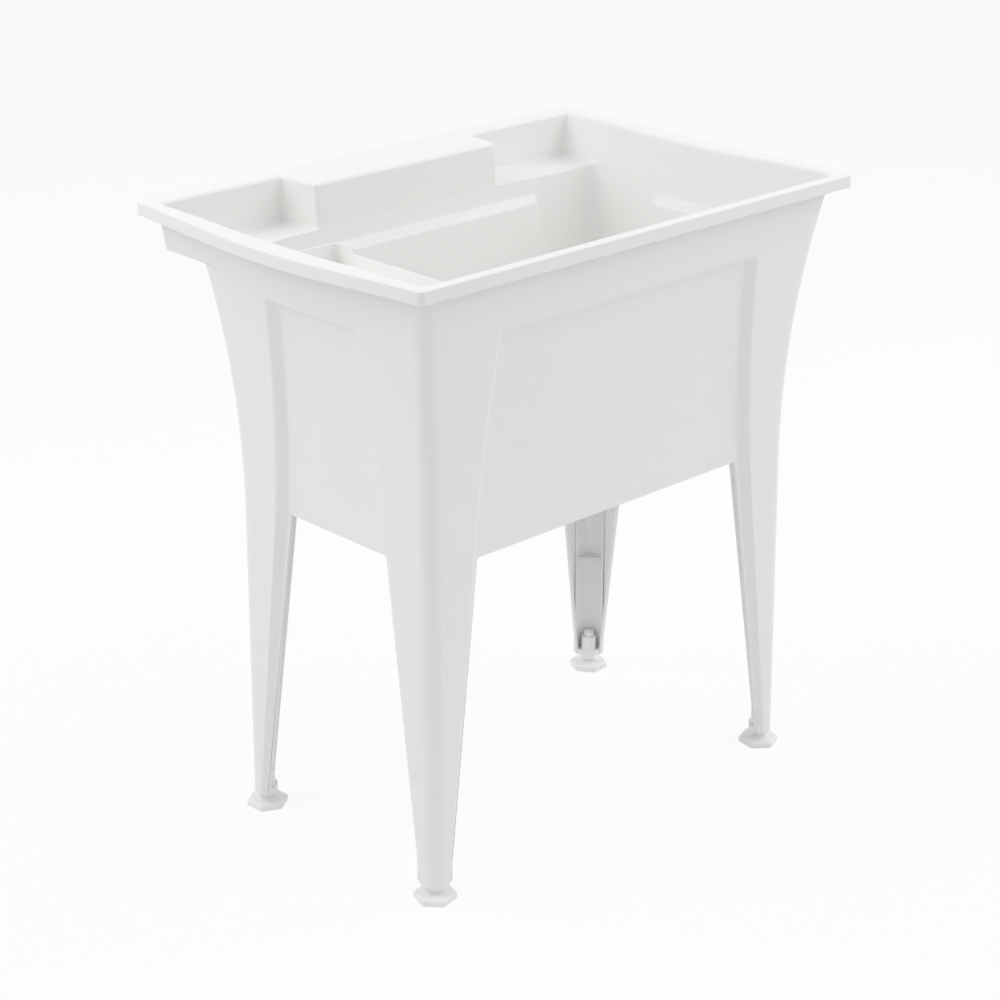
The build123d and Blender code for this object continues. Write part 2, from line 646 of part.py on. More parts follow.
def leg_outside_plan(z):
    """The leg's outer outline at height z, closed across its open side."""
    end = LEG_FACE_FOOT + LEG_BEVEL_FOOT + LEG_FLANGE_FOOT
    points = [(0, 0), (LEG_FACE_FOOT, 0), (end, LEG_BEVEL_FOOT), (end, end), (LEG_BEVEL_FOOT, end)]
    points.append((0, LEG_FACE_FOOT))
    face = make_face(Polyline(*[corner_point(a, b, z) for a, b in points], close=True))
    outer = face.vertices().sort_by_distance(corner_point(0, 0, z))
    return fillet(outer[0], CORNER_RADIUS)


def hexagon(across, z):
    """Corners of a hexagon at height z, from its size across the flats."""
    radius = across / math.sqrt(3)
    turns = [math.radians(60 * corner) for corner in range(6)]
    return [(radius * math.cos(turn), radius * math.sin(turn), z) for turn in turns]


def make_foot(turn):
    """Levelling foot, front left: hexagonal base with a domed collar and its threaded stem."""
    upright = (Align.CENTER, Align.CENTER, Align.MIN)
    base = extrude(make_face(Polyline(*hexagon(HEX_ACROSS_FLATS, 0), close=True)), amount=HEX_HEIGHT)
    base = chamfer(base.faces().sort_by(Axis.Z)[-1].edges(), HEX_CHAMFER)
    collar = frustum(hexagon(COLLAR_FOOT, HEX_HEIGHT), hexagon(COLLAR_TOP, HEX_HEIGHT + FOOT_DOME))
    stem = Cylinder(STEM_DIAMETER / 2, STEM_TOP, align=upright)
    return Pos(*foot_axis(0)) * Rot(0, 0, turn) * (base + collar + stem)


def make_screws():
    """The two hex-head screws that hold the front left leg's tongue."""
    head = extrude(RegularPolygon(SCREW_HEAD / 2, 6, major_radius=False), amount=-SCREW_HEAD_HEIGHT)
    shank = Cylinder(SCREW_SHANK / 2, SCREW_LENGTH, align=(Align.CENTER, Align.CENTER, Align.MIN))
    return [place * (head + shank) for place in screw_places()]


def turned(points):
    """A solid of revolution about the drain's axis, from radius and height pairs."""
    outline = make_face(Polyline(*points, close=True))
    return Pos(*DRAIN_AT) * revolve(Plane.XZ * outline, Axis.Z)


def make_drain():
    """Drain body: flange on the basin floor, tapered cup, crossbars and threaded outlet."""
    seat = FLOOR_HEIGHT - FLOOR_FALL
    top = seat + DRAIN_FLANGE_THICKNESS
    flange = DRAIN_FLANGE / 2
    pipe = DRAIN_PIPE / 2
    bore = DRAIN_BORE / 2
    cup = STOPPER_DIAMETER / 2 + DRAIN_CLEARANCE
    nut_foot = seat - WALL - SEAL_THICKNESS - FRICTION_THICKNESS - LOCKNUT_HEIGHT
    body = turned([
        (cup, top),
        (flange - FLANGE_SLOPE, top),
        (flange, seat + FLANGE_EDGE),
        (flange, seat),
        (pipe - THREAD_STEP, seat),
        (pipe - THREAD_STEP, nut_foot - THREAD_STEP_GAP),
        (pipe, nut_foot - THREAD_STEP_GAP),
        (pipe, top - DRAIN_LENGTH),
        (bore, top - DRAIN_LENGTH),
        (bore, top - STOPPER_HEIGHT),
        (cup, top - STOPPER_HEIGHT),
    ])
    for turn in (0, 90):
        bar = Rot(0, 0, turn) * Box(2 * (bore + OVERLAP), BAR_WIDTH, BAR_HEIGHT)
        body = body + Pos(*DRAIN_AT, top - STOPPER_HEIGHT - BAR_DROP) * bar
    return body


def make_gasket():
    """Rubber washer pressed up against the underside of the basin floor."""
    high = FLOOR_HEIGHT - FLOOR_FALL - WALL
    bore = DRAIN_PIPE / 2 + DRAIN_CLEARANCE
    outer = SEAL_DIAMETER / 2
    return turned([(bore, high - SEAL_THICKNESS), (outer, high - SEAL_THICKNESS), (outer, high), (bore, high)])


def make_friction_washer():
    """Thin slip washer between the rubber and the locknut."""
    high = FLOOR_HEIGHT - FLOOR_FALL - WALL - SEAL_THICKNESS
    low = high - FRICTION_THICKNESS
    bore = DRAIN_PIPE / 2 + DRAIN_CLEARANCE
    outer = SEAL_DIAMETER / 2 - FRICTION_INSET
    return turned([(bore, low), (outer, low), (outer, high), (bore, high)])


def make_locknut():
    """Large thin nut with eight lugs for a spud wrench."""
    high = FLOOR_HEIGHT - FLOOR_FALL - WALL - SEAL_THICKNESS - FRICTION_THICKNESS
    low = high - LOCKNUT_HEIGHT
    bore = DRAIN_PIPE / 2 + DRAIN_CLEARANCE
    outer = LOCKNUT_DIAMETER / 2
    step = outer - LOCKNUT_STEP
    rim = high - LOCKNUT_RIM
    nut = turned([(bore, low), (step, low), (step, rim), (outer, rim), (outer, high), (bore, high)])
    wing = Pos(outer - LUG_LENGTH / 2, 0, (low + high) / 2) * Box(LUG_LENGTH, LUG_WIDTH, LOCKNUT_HEIGHT)
    for lug in range(LUG_COUNT):
        nut = nut + Pos(*DRAIN_AT) * Rot(0, 0, 360 / LUG_COUNT * lug) * wing
    return nut


def make_stopper():
    """Rubber plug for the drain's cup, with a finger ring on top."""
    top = FLOOR_HEIGHT - FLOOR_FALL + DRAIN_FLANGE_THICKNESS
    low = top - STOPPER_HEIGHT + DRAIN_CLEARANCE
    under = top + DRAIN_CLEARANCE
    plug = turned([
        (0, low),
        (STOPPER_DIAMETER / 2, low),
        (STOPPER_DIAMETER / 2, under),
        (STOPPER_BRIM / 2, under),
        (STOPPER_BRIM / 2, under + BRIM_THICKNESS),
        (0, under + BRIM_THICKNESS),
    ])
    loop = extrude(Circle(RING_RADIUS) - Circle(RING_RADIUS - RING_WIDTH), amount=RING_WIDTH / 2, both=True)
    return plug + Pos(*DRAIN_AT, under + BRIM_THICKNESS + RING_RADIUS - RING_SINK) * Rot(90, 0, 0) * loop


def write(node, shape):
    """One file for each named piece."""
    export_step(shape, f"parts/{node}.step")


os.makedirs("parts", exist_ok=True)
write("tub", make_tub())
write("drain_body", make_drain())
write("drain_gasket", make_gasket())
write("drain_friction_washer", make_friction_washer())
write("drain_locknut", make_locknut())
write("drain_stopper", make_stopper())
CORNERS = {"front_left": (-1, -1), "front_right": (1, -1), "rear_left": (-1, 1), "rear_right": (1, 1)}
front_left_leg = make_leg()
front_left_screws = make_screws()
for corner, sides in CORNERS.items():
    write(f"leg_{corner}", mirrored(front_left_leg, *sides))
    write(f"foot_{corner}", mirrored(make_foot(FOOT_TURNS[corner]), *sides))
    screws = [mirrored(screw, *sides) for screw in front_left_screws]
    write(f"leg_screws_{corner}", Compound(children=screws))
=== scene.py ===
"""Looks of a utility laundry sink: a moulded tub on four lower legs, its levelling feet and its drain.

Lengths are in metres, +Z up, with the floor at zero and the sink's front towards -Y.  The outlines of the
small turned pieces are in millimetres, and are scaled where their points are made.
"""

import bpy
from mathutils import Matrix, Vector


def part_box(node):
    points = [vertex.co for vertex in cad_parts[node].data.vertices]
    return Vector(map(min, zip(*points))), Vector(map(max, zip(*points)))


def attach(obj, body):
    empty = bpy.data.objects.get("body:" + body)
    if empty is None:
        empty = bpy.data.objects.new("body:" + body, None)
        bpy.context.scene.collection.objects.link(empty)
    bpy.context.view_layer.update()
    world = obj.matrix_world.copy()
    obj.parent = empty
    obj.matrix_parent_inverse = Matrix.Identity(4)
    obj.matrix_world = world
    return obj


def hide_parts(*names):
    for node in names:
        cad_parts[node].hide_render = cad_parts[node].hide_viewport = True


bl_info = {
    "name": "Utility laundry sink",
    "version": (1, 0, 0),
    "blender": (4, 5, 0),
    "location": "View3D > Sidebar > Laundry sink",
    "description": "Moulded tub, lower legs, levelling feet and drain fittings of a laundry sink",
    "category": "Add Mesh",
}

import math

import bmesh
import bpy
import numpy as np
from mathutils import Matrix, Vector

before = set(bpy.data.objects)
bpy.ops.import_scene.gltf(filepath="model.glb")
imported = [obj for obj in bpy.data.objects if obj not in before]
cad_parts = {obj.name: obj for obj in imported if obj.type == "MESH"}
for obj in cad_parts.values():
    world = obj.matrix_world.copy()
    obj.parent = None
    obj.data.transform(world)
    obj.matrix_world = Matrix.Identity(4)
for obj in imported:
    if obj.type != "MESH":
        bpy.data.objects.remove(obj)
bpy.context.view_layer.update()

MM = 0.001
CORNERS = ("front_left", "front_right", "rear_left", "rear_right")

# The tub's rim: half its width and depth at the corners, and its heights.
RIM_HALF_WIDTH = 406.5 * MM
RIM_HALF_DEPTH = 292 * MM
RIM_CORNER = 9 * MM  # radius of its corners, in plan
RIM_TOP = 895 * MM
RIM_SAG = 5 * MM  # how far the side rims dip
LIP_HEIGHT = 18 * MM  # the turned-down edge

# The tub's body, from the top down.
WALL = 4 * MM
SHELF = 830 * MM
SHELF_BACK = 260 * MM  # inner face of the shelves' rear wall
DECK_HALF_WIDTH = 180 * MM
PANEL_TOP = 803 * MM
BASIN_FLOOR = 560 * MM  # where it meets the walls
DRAIN_SEAT = 554 * MM
SEAM = 483 * MM  # where the lower legs plug in

# What lies within these is inside the basin or over it, and what lies beyond is outside the walls.
INSIDE_HALF_WIDTH = 389 * MM
INSIDE_FRONT = -274.5 * MM
INSIDE_BACK = SHELF_BACK + WALL / 2
INSIDE_FLOOR = DRAIN_SEAT - WALL / 2

# The basin's walls curve outwards from the seam: radius, and inner faces of the side and front walls there.
FLARE_RADIUS = 2100 * MM
SIDE_WALL = 346.48 * MM
FRONT_WALL = 231.98 * MM

# Where the basin's rear corners cut into the shelves: the side wall, and the corner's middle and radius.
SHELF_WALL = 375.36 * MM
REAR_CORNER_X = 357.2 * MM
REAR_CORNER_Y = 170.6 * MM
REAR_CORNER_RADIUS = 18 * MM

# How the mesh's edges are told apart.
SLACK = 0.5 * MM  # how far an edge may be from the place it is looked for at
SHARP = 27  # an edge that turns by more than this, in degrees, is a corner of the form
LONG = 20 * MM  # longer than the facets of the round corners

# The drain's axis, which is also the middle of the tub's body.
DRAIN = (0.0, -36 * MM)


# ---- shader maths ----


class Signal:
    """An output of one finish's nodes; arithmetic on it adds Math nodes."""

    def __init__(self, finish, socket):
        self.finish = finish
        self.socket = socket

    def _math(self, operation, first, second):
        return self.finish.node("ShaderNodeMath", {"operation": operation}, {0: first, 1: second})

    def __add__(self, other):
        return self._math("ADD", self, other)

    __radd__ = __add__

    def __sub__(self, other):
        return self._math("SUBTRACT", self, other)

    def __rsub__(self, other):
        return self._math("SUBTRACT", other, self)

    def __mul__(self, other):
        return self._math("MULTIPLY", self, other)

    __rmul__ = __mul__


class Finish:
    """The nodes of a material or a world under construction, with one method that adds any node."""

    def __init__(self, owner):
        owner.use_nodes = True
        self.owner = owner
        self.tree = owner.node_tree
        self.tree.nodes.clear()

    def node(self, kind, settings=None, sockets=None, output=0):
        """Adds a node: its settings first, then the values or links of its sockets."""
        node = self.tree.nodes.new(kind)
        for key, value in (settings or {}).items():
            setattr(node, key, value)
        for key, value in (sockets or {}).items():
            if isinstance(value, Signal):
                self.tree.links.new(value.socket, node.inputs[key])
            else:
                node.inputs[key].default_value = value
        return Signal(self, node.outputs[output]) if len(node.outputs) else None

    def noise(self, size, detail, roughness=0.5):
        """Cloudy noise in the piece's own space, with patches about size metres across, from 0 to 1."""
        place = self.node("ShaderNodeTexCoord", output="Object")
        sockets = {"Vector": place, "Scale": 1 / size, "Detail": detail, "Roughness": roughness}
        return self.node("ShaderNodeTexNoise", {}, sockets)

    def blend(self, share, low, high):
        """The colour low where share is 0 and high where it is 1."""
        sockets = {"Factor": share, "A": (*low, 1), "B": (*high, 1)}
        return self.node("ShaderNodeMix", {"data_type": "RGBA"}, sockets, 2)

    def relief(self, height, depth, strength, **normal):
        """Raises and lowers the skin by up to depth metres, on top of a given Normal."""
        sockets = {"Strength": strength, "Distance": depth, "Height": height, **normal}
        return self.node("ShaderNodeBump", {}, sockets)

    def surface(self, sockets):
        """The material, with a principled shader that has those values or links."""
        shader = self.node("ShaderNodeBsdfPrincipled", {}, sockets)
        self.node("ShaderNodeOutputMaterial", {}, {"Surface": shader})
        return self.owner


def darker(colour, share):
    return tuple(part * share for part in colour)


# ---- finishes ----


def moulded_plastic(name, colour, roughness, grain, waviness):
    """Injection-moulded plastic: faint clouding, an uneven gloss, a fine pebbled skin and a slow ripple."""
    finish = Finish(bpy.data.materials.new(name))
    cloud = finish.noise(size=0.16, detail=3)
    patch = finish.noise(size=0.035, detail=4)
    pebble = finish.noise(size=0.0011, detail=2)
    ripple = finish.noise(size=0.09, detail=1)
    skin = finish.relief(pebble, depth=0.2 * MM, strength=grain)
    return finish.surface({
        "Base Color": finish.blend(cloud * 0.6 + patch * 0.4, darker(colour, 0.975), colour),
        "Roughness": cloud * 0.06 + patch * 0.05 + pebble * 0.04 + (roughness - 0.075),
        "Normal": finish.relief(ripple, depth=waviness, strength=1.0, Normal=skin),
        "IOR": 1.49,
    })


def moulded_rubber(name, colour, bloom):
    """Soft rubber: dark, dull, with a greyish bloom in patches and a fine matt grain."""
    finish = Finish(bpy.data.materials.new(name))
    patch = finish.noise(size=0.012, detail=4)
    grain = finish.noise(size=0.0006, detail=2)
    return finish.surface({
        "Base Color": finish.blend(patch, colour, bloom),
        "Roughness": patch * 0.15 + 0.5,
        "Normal": finish.relief(grain, depth=0.1 * MM, strength=0.35),
        "IOR": 1.52,
    })


def fibre_sheet(name, colour):
    """Pressed fibre sheet: a tan colour with short darker flecks, quite matt."""
    finish = Finish(bpy.data.materials.new(name))
    fleck = finish.noise(size=0.0012, detail=5, roughness=0.7)
    patch = finish.noise(size=0.01, detail=2)
    return finish.surface({
        "Base Color": finish.blend(fleck * 0.7 + patch * 0.3, darker(colour, 0.72), colour),
        "Roughness": fleck * 0.1 + 0.7,
        "Normal": finish.relief(fleck, depth=0.2 * MM, strength=0.4),
    })


def plated_steel(name, colour):
    """Zinc-plated steel: a bright metal with cloudy spangle and fine scuffs."""
    finish = Finish(bpy.data.materials.new(name))
    spangle = finish.noise(size=0.002, detail=3)
    scuff = finish.noise(size=0.0004, detail=3)
    return finish.surface({
        "Base Color": finish.blend(spangle, darker(colour, 0.85), colour),
        "Roughness": spangle * 0.15 + 0.25,
        "Metallic": 1.0,
        "Normal": finish.relief(scuff, depth=0.05 * MM, strength=0.2),
    })


# ---- surfaces ----


def in_scene(name, data):
    """An object with that data, linked to the scene."""
    holder = bpy.data.objects.new(name, data)
    bpy.context.scene.collection.objects.link(holder)
    return holder


def new_piece(name, parts, material):
    """One object from several (vertices, faces) parts, smooth shaded, with its place in its mesh."""
    vertices, faces, start = [], [], 0
    for points, polygons in parts:
        vertices.append(np.asarray(points, float))
        faces += [[start + corner for corner in polygon] for polygon in polygons]
        start += len(points)
    mesh = bpy.data.meshes.new(name)
    mesh.from_pydata(np.vstack(vertices).tolist(), [], faces)
    mesh.materials.append(material)
    shade_smooth(mesh)
    return in_scene(name, mesh)


def shade_smooth(mesh):
    """Shades every face of a mesh smooth, and brings the mesh up to date."""
    mesh.polygons.foreach_set("use_smooth", np.ones(len(mesh.polygons), bool))
    mesh.update()


def mesh_points(mesh):
    """The corners of a mesh, one row each."""
    points = np.empty((len(mesh.vertices), 3), np.float32)
    mesh.vertices.foreach_get("co", points.ravel())
    return points


def closed_grid(points, ring=False, low_pole=None, high_pole=None):
    """Vertices and faces of a grid of points that closes round its columns.

    Row i, column j is joined to row i + 1 and column j + 1; the last column joins the first.  With ring,
    the last row joins the first as well; otherwise each end is closed by a fan to its pole.
    """
    rows, columns = points.shape[:2]
    index = np.arange(rows * columns).reshape(rows, columns)
    beside = np.roll(index, -1, axis=1)
    if ring:
        low, low_beside = index, beside
        high, high_beside = np.roll(index, -1, axis=0), np.roll(beside, -1, axis=0)
    else:
        low, low_beside = index[:-1], beside[:-1]
        high, high_beside = index[1:], beside[1:]
    faces = np.stack([low, low_beside, high_beside, high], axis=-1).reshape(-1, 4).tolist()
    vertices = points.reshape(-1, 3)
    for pole, first, second in ((low_pole, beside[0], index[0]), (high_pole, index[-1], beside[-1])):
        if pole is not None:
            centre = np.full(columns, len(vertices))
            faces += np.stack([first, second, centre], axis=-1).tolist()
            vertices = np.vstack([vertices, pole])
    return vertices, faces


def turned_over(part):
    """A part with each face turned to look the other way."""
    vertices, faces = part
    return vertices, [face[::-1] for face in faces]


def bearings(count):
    """Angles spaced evenly round a full turn."""
    return np.linspace(0, 2 * math.pi, count, endpoint=False)


def round_axis(radius, height, bearing, axis=(0, 0)):
    """Points round an upright axis: x and y are the radius times the bearing's cosine and sine.

    The radius has a row for each height, and a column for each bearing or one for them all.
    """
    x = axis[0] + radius * np.cos(bearing)
    y = axis[1] + radius * np.sin(bearing)
    return np.stack([x, y, np.broadcast_to(height, x.shape)], axis=-1)


def eased(corners, radii, steps=5):
    """A line through corners with each one rounded.

    Round each corner C, with A and B the points a tangent's length before and after it, the line is
    (1 - s)^2 A + 2 s (1 - s) C + s^2 B for s from 0 to 1.
    """
    corners = np.asarray(corners, float)
    share = np.linspace(0, 1, steps + 1)[:, None]
    line = [corners[:1]]
    for before, corner, after, radius in zip(corners[:-2], corners[1:-1], corners[2:], radii):
        if radius <= 0:
            line.append(corner[None])
            continue
        a, b = before - corner, after - corner
        long_a, long_b = np.linalg.norm(a), np.linalg.norm(b)
        half = math.acos(max(-1.0, min(1.0, float(a @ b) / (long_a * long_b)))) / 2
        reach = min(radius / math.tan(half), 0.49 * long_a, 0.49 * long_b)
        a, b = corner + a * reach / long_a, corner + b * reach / long_b
        line.append((1 - share) ** 2 * a + 2 * share * (1 - share) * corner + share**2 * b)
    line.append(corners[-1:])
    return np.vstack(line)


def hexagon_radius(turn, sharpness):
    """Distance to a hexagon's edge over its distance to a flat, with rounded corners.

    It is 1 over the sharpness-norm of the positive cosines of the angles to the six flats.
    """
    flats = np.radians(30 + 60 * np.arange(6))
    cosines = np.clip(np.cos(turn[..., None] - flats), 1e-9, None)
    return (cosines**sharpness).sum(-1) ** (-1 / sharpness)


def thread_depth(height, turn, pitch):
    """A screw thread's groove, 0 at the crest and 1 at the root, climbing one pitch each turn."""
    wave = (height / pitch - turn / (2 * math.pi)) % 1.0
    return np.clip(np.abs(2 * wave - 1) * 1.5 - 0.25, 0, 1)


def fade(value, low, high):
    """Smooth step from 0 at low to 1 at high."""
    share = np.clip((value - low) / (high - low), 0, 1)
    return share * share * (3 - 2 * share)


# ---- mouldings from the CAD shapes ----


def whole_copy(node):
    """The CAD node's mesh with its doubled corners joined and its flat faces made whole."""
    shape = bmesh.new()
    shape.from_mesh(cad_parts[node].data)
    bmesh.ops.remove_doubles(shape, verts=shape.verts[:], dist=2e-6)
    bmesh.ops.dissolve_limit(
        shape,
        angle_limit=math.radians(0.4),
        use_dissolve_boundaries=False,
        verts=shape.verts[:],
        edges=shape.edges[:],
    )
    return shape


def edge_widths(shape, widths):
    """A rounding width for each edge of a shape, with its signed angle in degrees.

    widths takes the edges' middles, directions, lengths and signed angles, and gives a width for each.
    """
    shape.edges.ensure_lookup_table()
    ends = np.array([[*e.verts[0].co, *e.verts[1].co] for e in shape.edges])
    middle = (ends[:, :3] + ends[:, 3:]) / 2
    along = ends[:, 3:] - ends[:, :3]
    length = np.linalg.norm(along, axis=1)
    angle = np.degrees([e.calc_face_angle_signed(0) for e in shape.edges])
    return widths(middle, along / np.maximum(length, 1e-9)[:, None], length, angle), angle


def split_off(edge, far, near, share):
    """Adds a corner to an edge at a share of its length from far: the corner, and the edge left to near."""
    corner = bmesh.utils.edge_split(edge, far, share)[1]
    return corner, next(part for part in corner.link_edges if near in part.verts)


def split_side_edge(edge, places):
    """Adds corners to a shelf's straight side edge, level with the given places."""
    near, far = sorted(edge.verts, key=lambda end: end.co.y)
    for place in places[(places < far.co.y) & (places > near.co.y)]:
        share = (far.co.y - place) / (far.co.y - near.co.y)
        far, edge = split_off(edge, far, near, share)


def split_front_edge(edge, step_angle):
    """Divides a chord of a shelf's curved front edge into steps round the corner's middle."""
    far, near = edge.verts
    side = math.copysign(1, far.co.x)
    polar = [
        (math.atan2(y, x), math.hypot(x, y))
        for x, y in ((abs(end.co.x) - REAR_CORNER_X, end.co.y - REAR_CORNER_Y) for end in (far, near))
    ]
    steps = math.ceil(abs(polar[0][0] - polar[1][0]) / step_angle)
    for step in range(1, steps):
        bearing, reach = (a + (b - a) * step / steps for a, b in zip(*polar))
        far, edge = split_off(edge, far, near, 1 / (steps - step + 1))
        far.co.x = side * (REAR_CORNER_X + reach * math.cos(bearing))
        far.co.y = REAR_CORNER_Y + reach * math.sin(bearing)


def split_shelf_edges(shape):
    """Adds corners to the shelves' edges where the shelf narrows to nothing beside the basin's rear corner.

    The curved front edge gets short steps, spaced evenly by their bearing from the corner's middle, and the
    straight side edge gets corners level with them, so that both roundings can run out together.
    """
    places = REAR_CORNER_Y + REAR_CORNER_RADIUS * np.sin(np.radians(np.linspace(90, 6, 24)))
    for edge in list(shape.edges):
        ends = [(abs(end.co.x), end.co.y, end.co.z) for end in edge.verts]
        if any(abs(z - SHELF) > SLACK or x < 0.9 * SHELF_WALL for x, _, z in ends):
            continue
        bend = [math.hypot(x - REAR_CORNER_X, y - REAR_CORNER_Y) - REAR_CORNER_RADIUS for x, y, _ in ends]
        if all(abs(x - SHELF_WALL) < 0.2 * SLACK for x, _, _ in ends) and edge.calc_length() > LONG:
            split_side_edge(edge, places)
        elif all(abs(gap) < 1.2 * SLACK for gap in bend):
            split_front_edge(edge, math.radians(1.8))


def clear_beside_roundings(shape, widths, low, passes=3):
    """Joins corners that stand too close beside a rounded edge above the height low to that edge.

    The short edges lie in the curved corner faces, so the surface keeps its place.
    """
    for _ in range(passes):
        width, _ = edge_widths(shape, widths)
        reach = {}
        for edge, size in zip(shape.edges, width):
            for corner in edge.verts:
                if size > 0 and corner.co.z > low:
                    reach[corner] = max(reach.get(corner, 0), size)
        joined = {}
        for edge in sorted(shape.edges, key=lambda e: e.calc_length()):
            first, second = edge.verts
            if (first in reach) == (second in reach):
                continue
            kept, loose = (first, second) if first in reach else (second, first)
            if edge.calc_length() < 2 * reach[kept] and loose.co.z > low:
                joined.setdefault(loose, kept)
        bmesh.ops.weld_verts(shape, targetmap=joined)
        bmesh.ops.dissolve_degenerate(shape, dist=1e-6, edges=shape.edges[:])
    return shape


def modify(piece, kind, **settings):
    """Adds a modifier of a kind to a piece, with its settings."""
    modifier = piece.modifiers.new(kind.lower(), kind)
    for key, value in settings.items():
        setattr(modifier, key, value)


def baked(piece):
    """The mesh that a piece's modifiers make; the piece itself is removed."""
    mesh = bpy.data.meshes.new_from_object(piece.evaluated_get(bpy.context.evaluated_depsgraph_get()))
    bpy.data.objects.remove(piece)
    return mesh


def rounded_moulding(name, shape, widths, material, segments):
    """A merged moulding as an object whose edges are rounded, each by its own width.

    The Bevel modifier's corners are kept within the sharp shape's own box.
    """
    width, angle = edge_widths(shape, widths)
    widest = float(width.max())
    layer = shape.edges.layers.float.new("bevel_weight_edge")
    for edge, share, turn in zip(shape.edges, width / widest, np.abs(angle)):
        edge[layer] = share
        edge.smooth = share > 0 or turn < SHARP
    sharp_mesh = bpy.data.meshes.new("sharp_" + name)
    shape.to_mesh(sharp_mesh)
    shape.free()
    sharp_mesh.materials.clear()
    sharp_mesh.materials.append(material)
    shade_smooth(sharp_mesh)
    sharp = in_scene("sharp_" + name, sharp_mesh)
    modify(
        sharp, "BEVEL", limit_method="WEIGHT", width=widest, segments=segments, use_clamp_overlap=False,
        miter_outer="MITER_ARC",
    )
    mesh = baked(sharp)
    mesh.name = name
    sharp_points = mesh_points(sharp_mesh)
    inside = np.clip(mesh_points(mesh), sharp_points.min(0), sharp_points.max(0))
    mesh.vertices.foreach_set("co", inside.ravel())
    mesh.update()
    bpy.data.meshes.remove(sharp_mesh)
    piece = in_scene(name, mesh)
    modify(piece, "WEIGHTED_NORMAL", mode="FACE_AREA_WITH_ANGLE", weight=50, keep_sharp=True)
    return piece


def at(value, place, slack=SLACK):
    """Whether each value is at a place, give or take some slack."""
    return np.abs(value - place) < slack


def tub_widths(middle, along, length, angle):
    """How far each edge of the tub is rounded, by where it is."""
    rounding = bpy.context.scene.sink_moulding
    x, y, z = np.abs(middle[:, 0]), middle[:, 1], middle[:, 2]
    sharp = np.abs(angle) > SHARP
    convex = angle > 0
    upright = np.abs(along[:, 2]) > 0.7

    past_x = np.clip(x - (RIM_HALF_WIDTH - RIM_CORNER), 0, 1)
    past_y = np.clip(np.abs(y) - (RIM_HALF_DEPTH - RIM_CORNER), 0, 1)
    outline = (
        (np.abs(y) > RIM_HALF_DEPTH - 2 * SLACK)
        | (x > RIM_HALF_WIDTH - SLACK)
        | (np.hypot(past_x, past_y) > RIM_CORNER - SLACK)
    )
    in_lip = (np.abs(y) > RIM_HALF_DEPTH - 1.5 * WALL) | (x > RIM_HALF_WIDTH - 1.5 * WALL)
    inside = (x < INSIDE_HALF_WIDTH) & (y > INSIDE_FRONT) & (y < INSIDE_BACK) & (z > INSIDE_FLOOR)
    body = (z > SEAM + 2 * WALL) & (z < PANEL_TOP + 2 * WALL)

    width = np.zeros(len(x))
    width[body & ~inside & sharp & (length > LONG)] = rounding.panel_edge
    width[inside & (z > BASIN_FLOOR + WALL) & (z < SHELF - 2 * SLACK)] = rounding.basin_ledge
    width[inside & ~convex & at(z, BASIN_FLOOR, 3 * SLACK)] = rounding.basin_foot
    width[inside & ~convex & (z > SHELF - 2 * SLACK)] = rounding.shelf_corner
    width[inside & convex & ~upright & at(z, SHELF, 2 * SLACK)] = rounding.shelf_edge
    width[inside & convex & ~upright & (z > RIM_TOP - 1.4 * RIM_SAG)] = rounding.rim_inner_edge
    beside_deck = (x < DECK_HALF_WIDTH + 5 * WALL) & (z > SHELF + 2 * SLACK)
    width[inside & convex & upright & beside_deck] = rounding.deck_corner
    width[in_lip & at(z, RIM_TOP - LIP_HEIGHT - RIM_SAG, 1.5 * WALL)] = rounding.lip_foot_edge
    width[outline & ~upright & (z > RIM_TOP - 2 * RIM_SAG)] = rounding.rim_edge
    width[convex & at(z, SEAM)] = rounding.seam_edge
    width[~sharp] = 0
    narrow_shelf_widths(width, x, y, z)
    return width


def narrow_shelf_widths(width, x, y, z):
    """Lets the shelves' roundings run out with the shelf beside the basin's rear corners.

    There the shelf's breadth is the gap between the side wall and the corner's curve, and a rounding takes
    less than half of it.  The thin edges under that part of the shelf stay sharp.
    """
    behind = np.clip(y - REAR_CORNER_Y, 0, REAR_CORNER_RADIUS)
    curve = np.sqrt(REAR_CORNER_RADIUS**2 - behind**2)
    on_wall = x > SHELF_WALL - 0.1 * SLACK
    breadth = np.where(on_wall, SHELF_WALL - REAR_CORNER_X - curve, SHELF_WALL - x)
    corner_end = REAR_CORNER_Y + REAR_CORNER_RADIUS
    narrow = at(z, SHELF) & (y < corner_end) & (x > REAR_CORNER_X)
    width[narrow] = np.minimum(width[narrow], 0.42 * np.clip(breadth[narrow] - SLACK, 0, 1))
    width[at(z, SHELF - WALL) & (y < corner_end + WALL) & (y > REAR_CORNER_Y - 5 * WALL)] = 0


def leg_widths(middle, along, length, angle):
    """The leg's long edges are rounded; those of its webs and holes are left."""
    rounding = bpy.context.scene.sink_moulding
    height = middle[:, 2]
    sharp = np.abs(angle) > SHARP
    width = np.where(sharp & (length > 2 * LONG) & (height < SEAM - 3 * MM), rounding.leg_edge, 0.0)
    width[sharp & (angle > 0) & at(height, SEAM)] = rounding.seam_edge
    return width


# ---- tray inside the left rim ----


def flare(height):
    """How far the tub's walls have come outwards at a height, from where they are at the seam."""
    return FLARE_RADIUS - np.sqrt(FLARE_RADIUS**2 - (height - SEAM) ** 2)


def prism(outline, axis, low, high):
    """An outline of pairs carried along an axis from low to high, as a (vertices, faces) part."""
    outline = np.asarray(outline, float)
    count = len(outline)
    index = np.arange(count)
    beside = np.roll(index, -1)
    vertices = np.vstack([np.insert(outline, axis, place, axis=1) for place in (low, high)])
    sides = np.stack([index, beside, beside + count, index + count], axis=-1).tolist()
    return vertices, [index[::-1].tolist(), (index + count).tolist(), *sides]


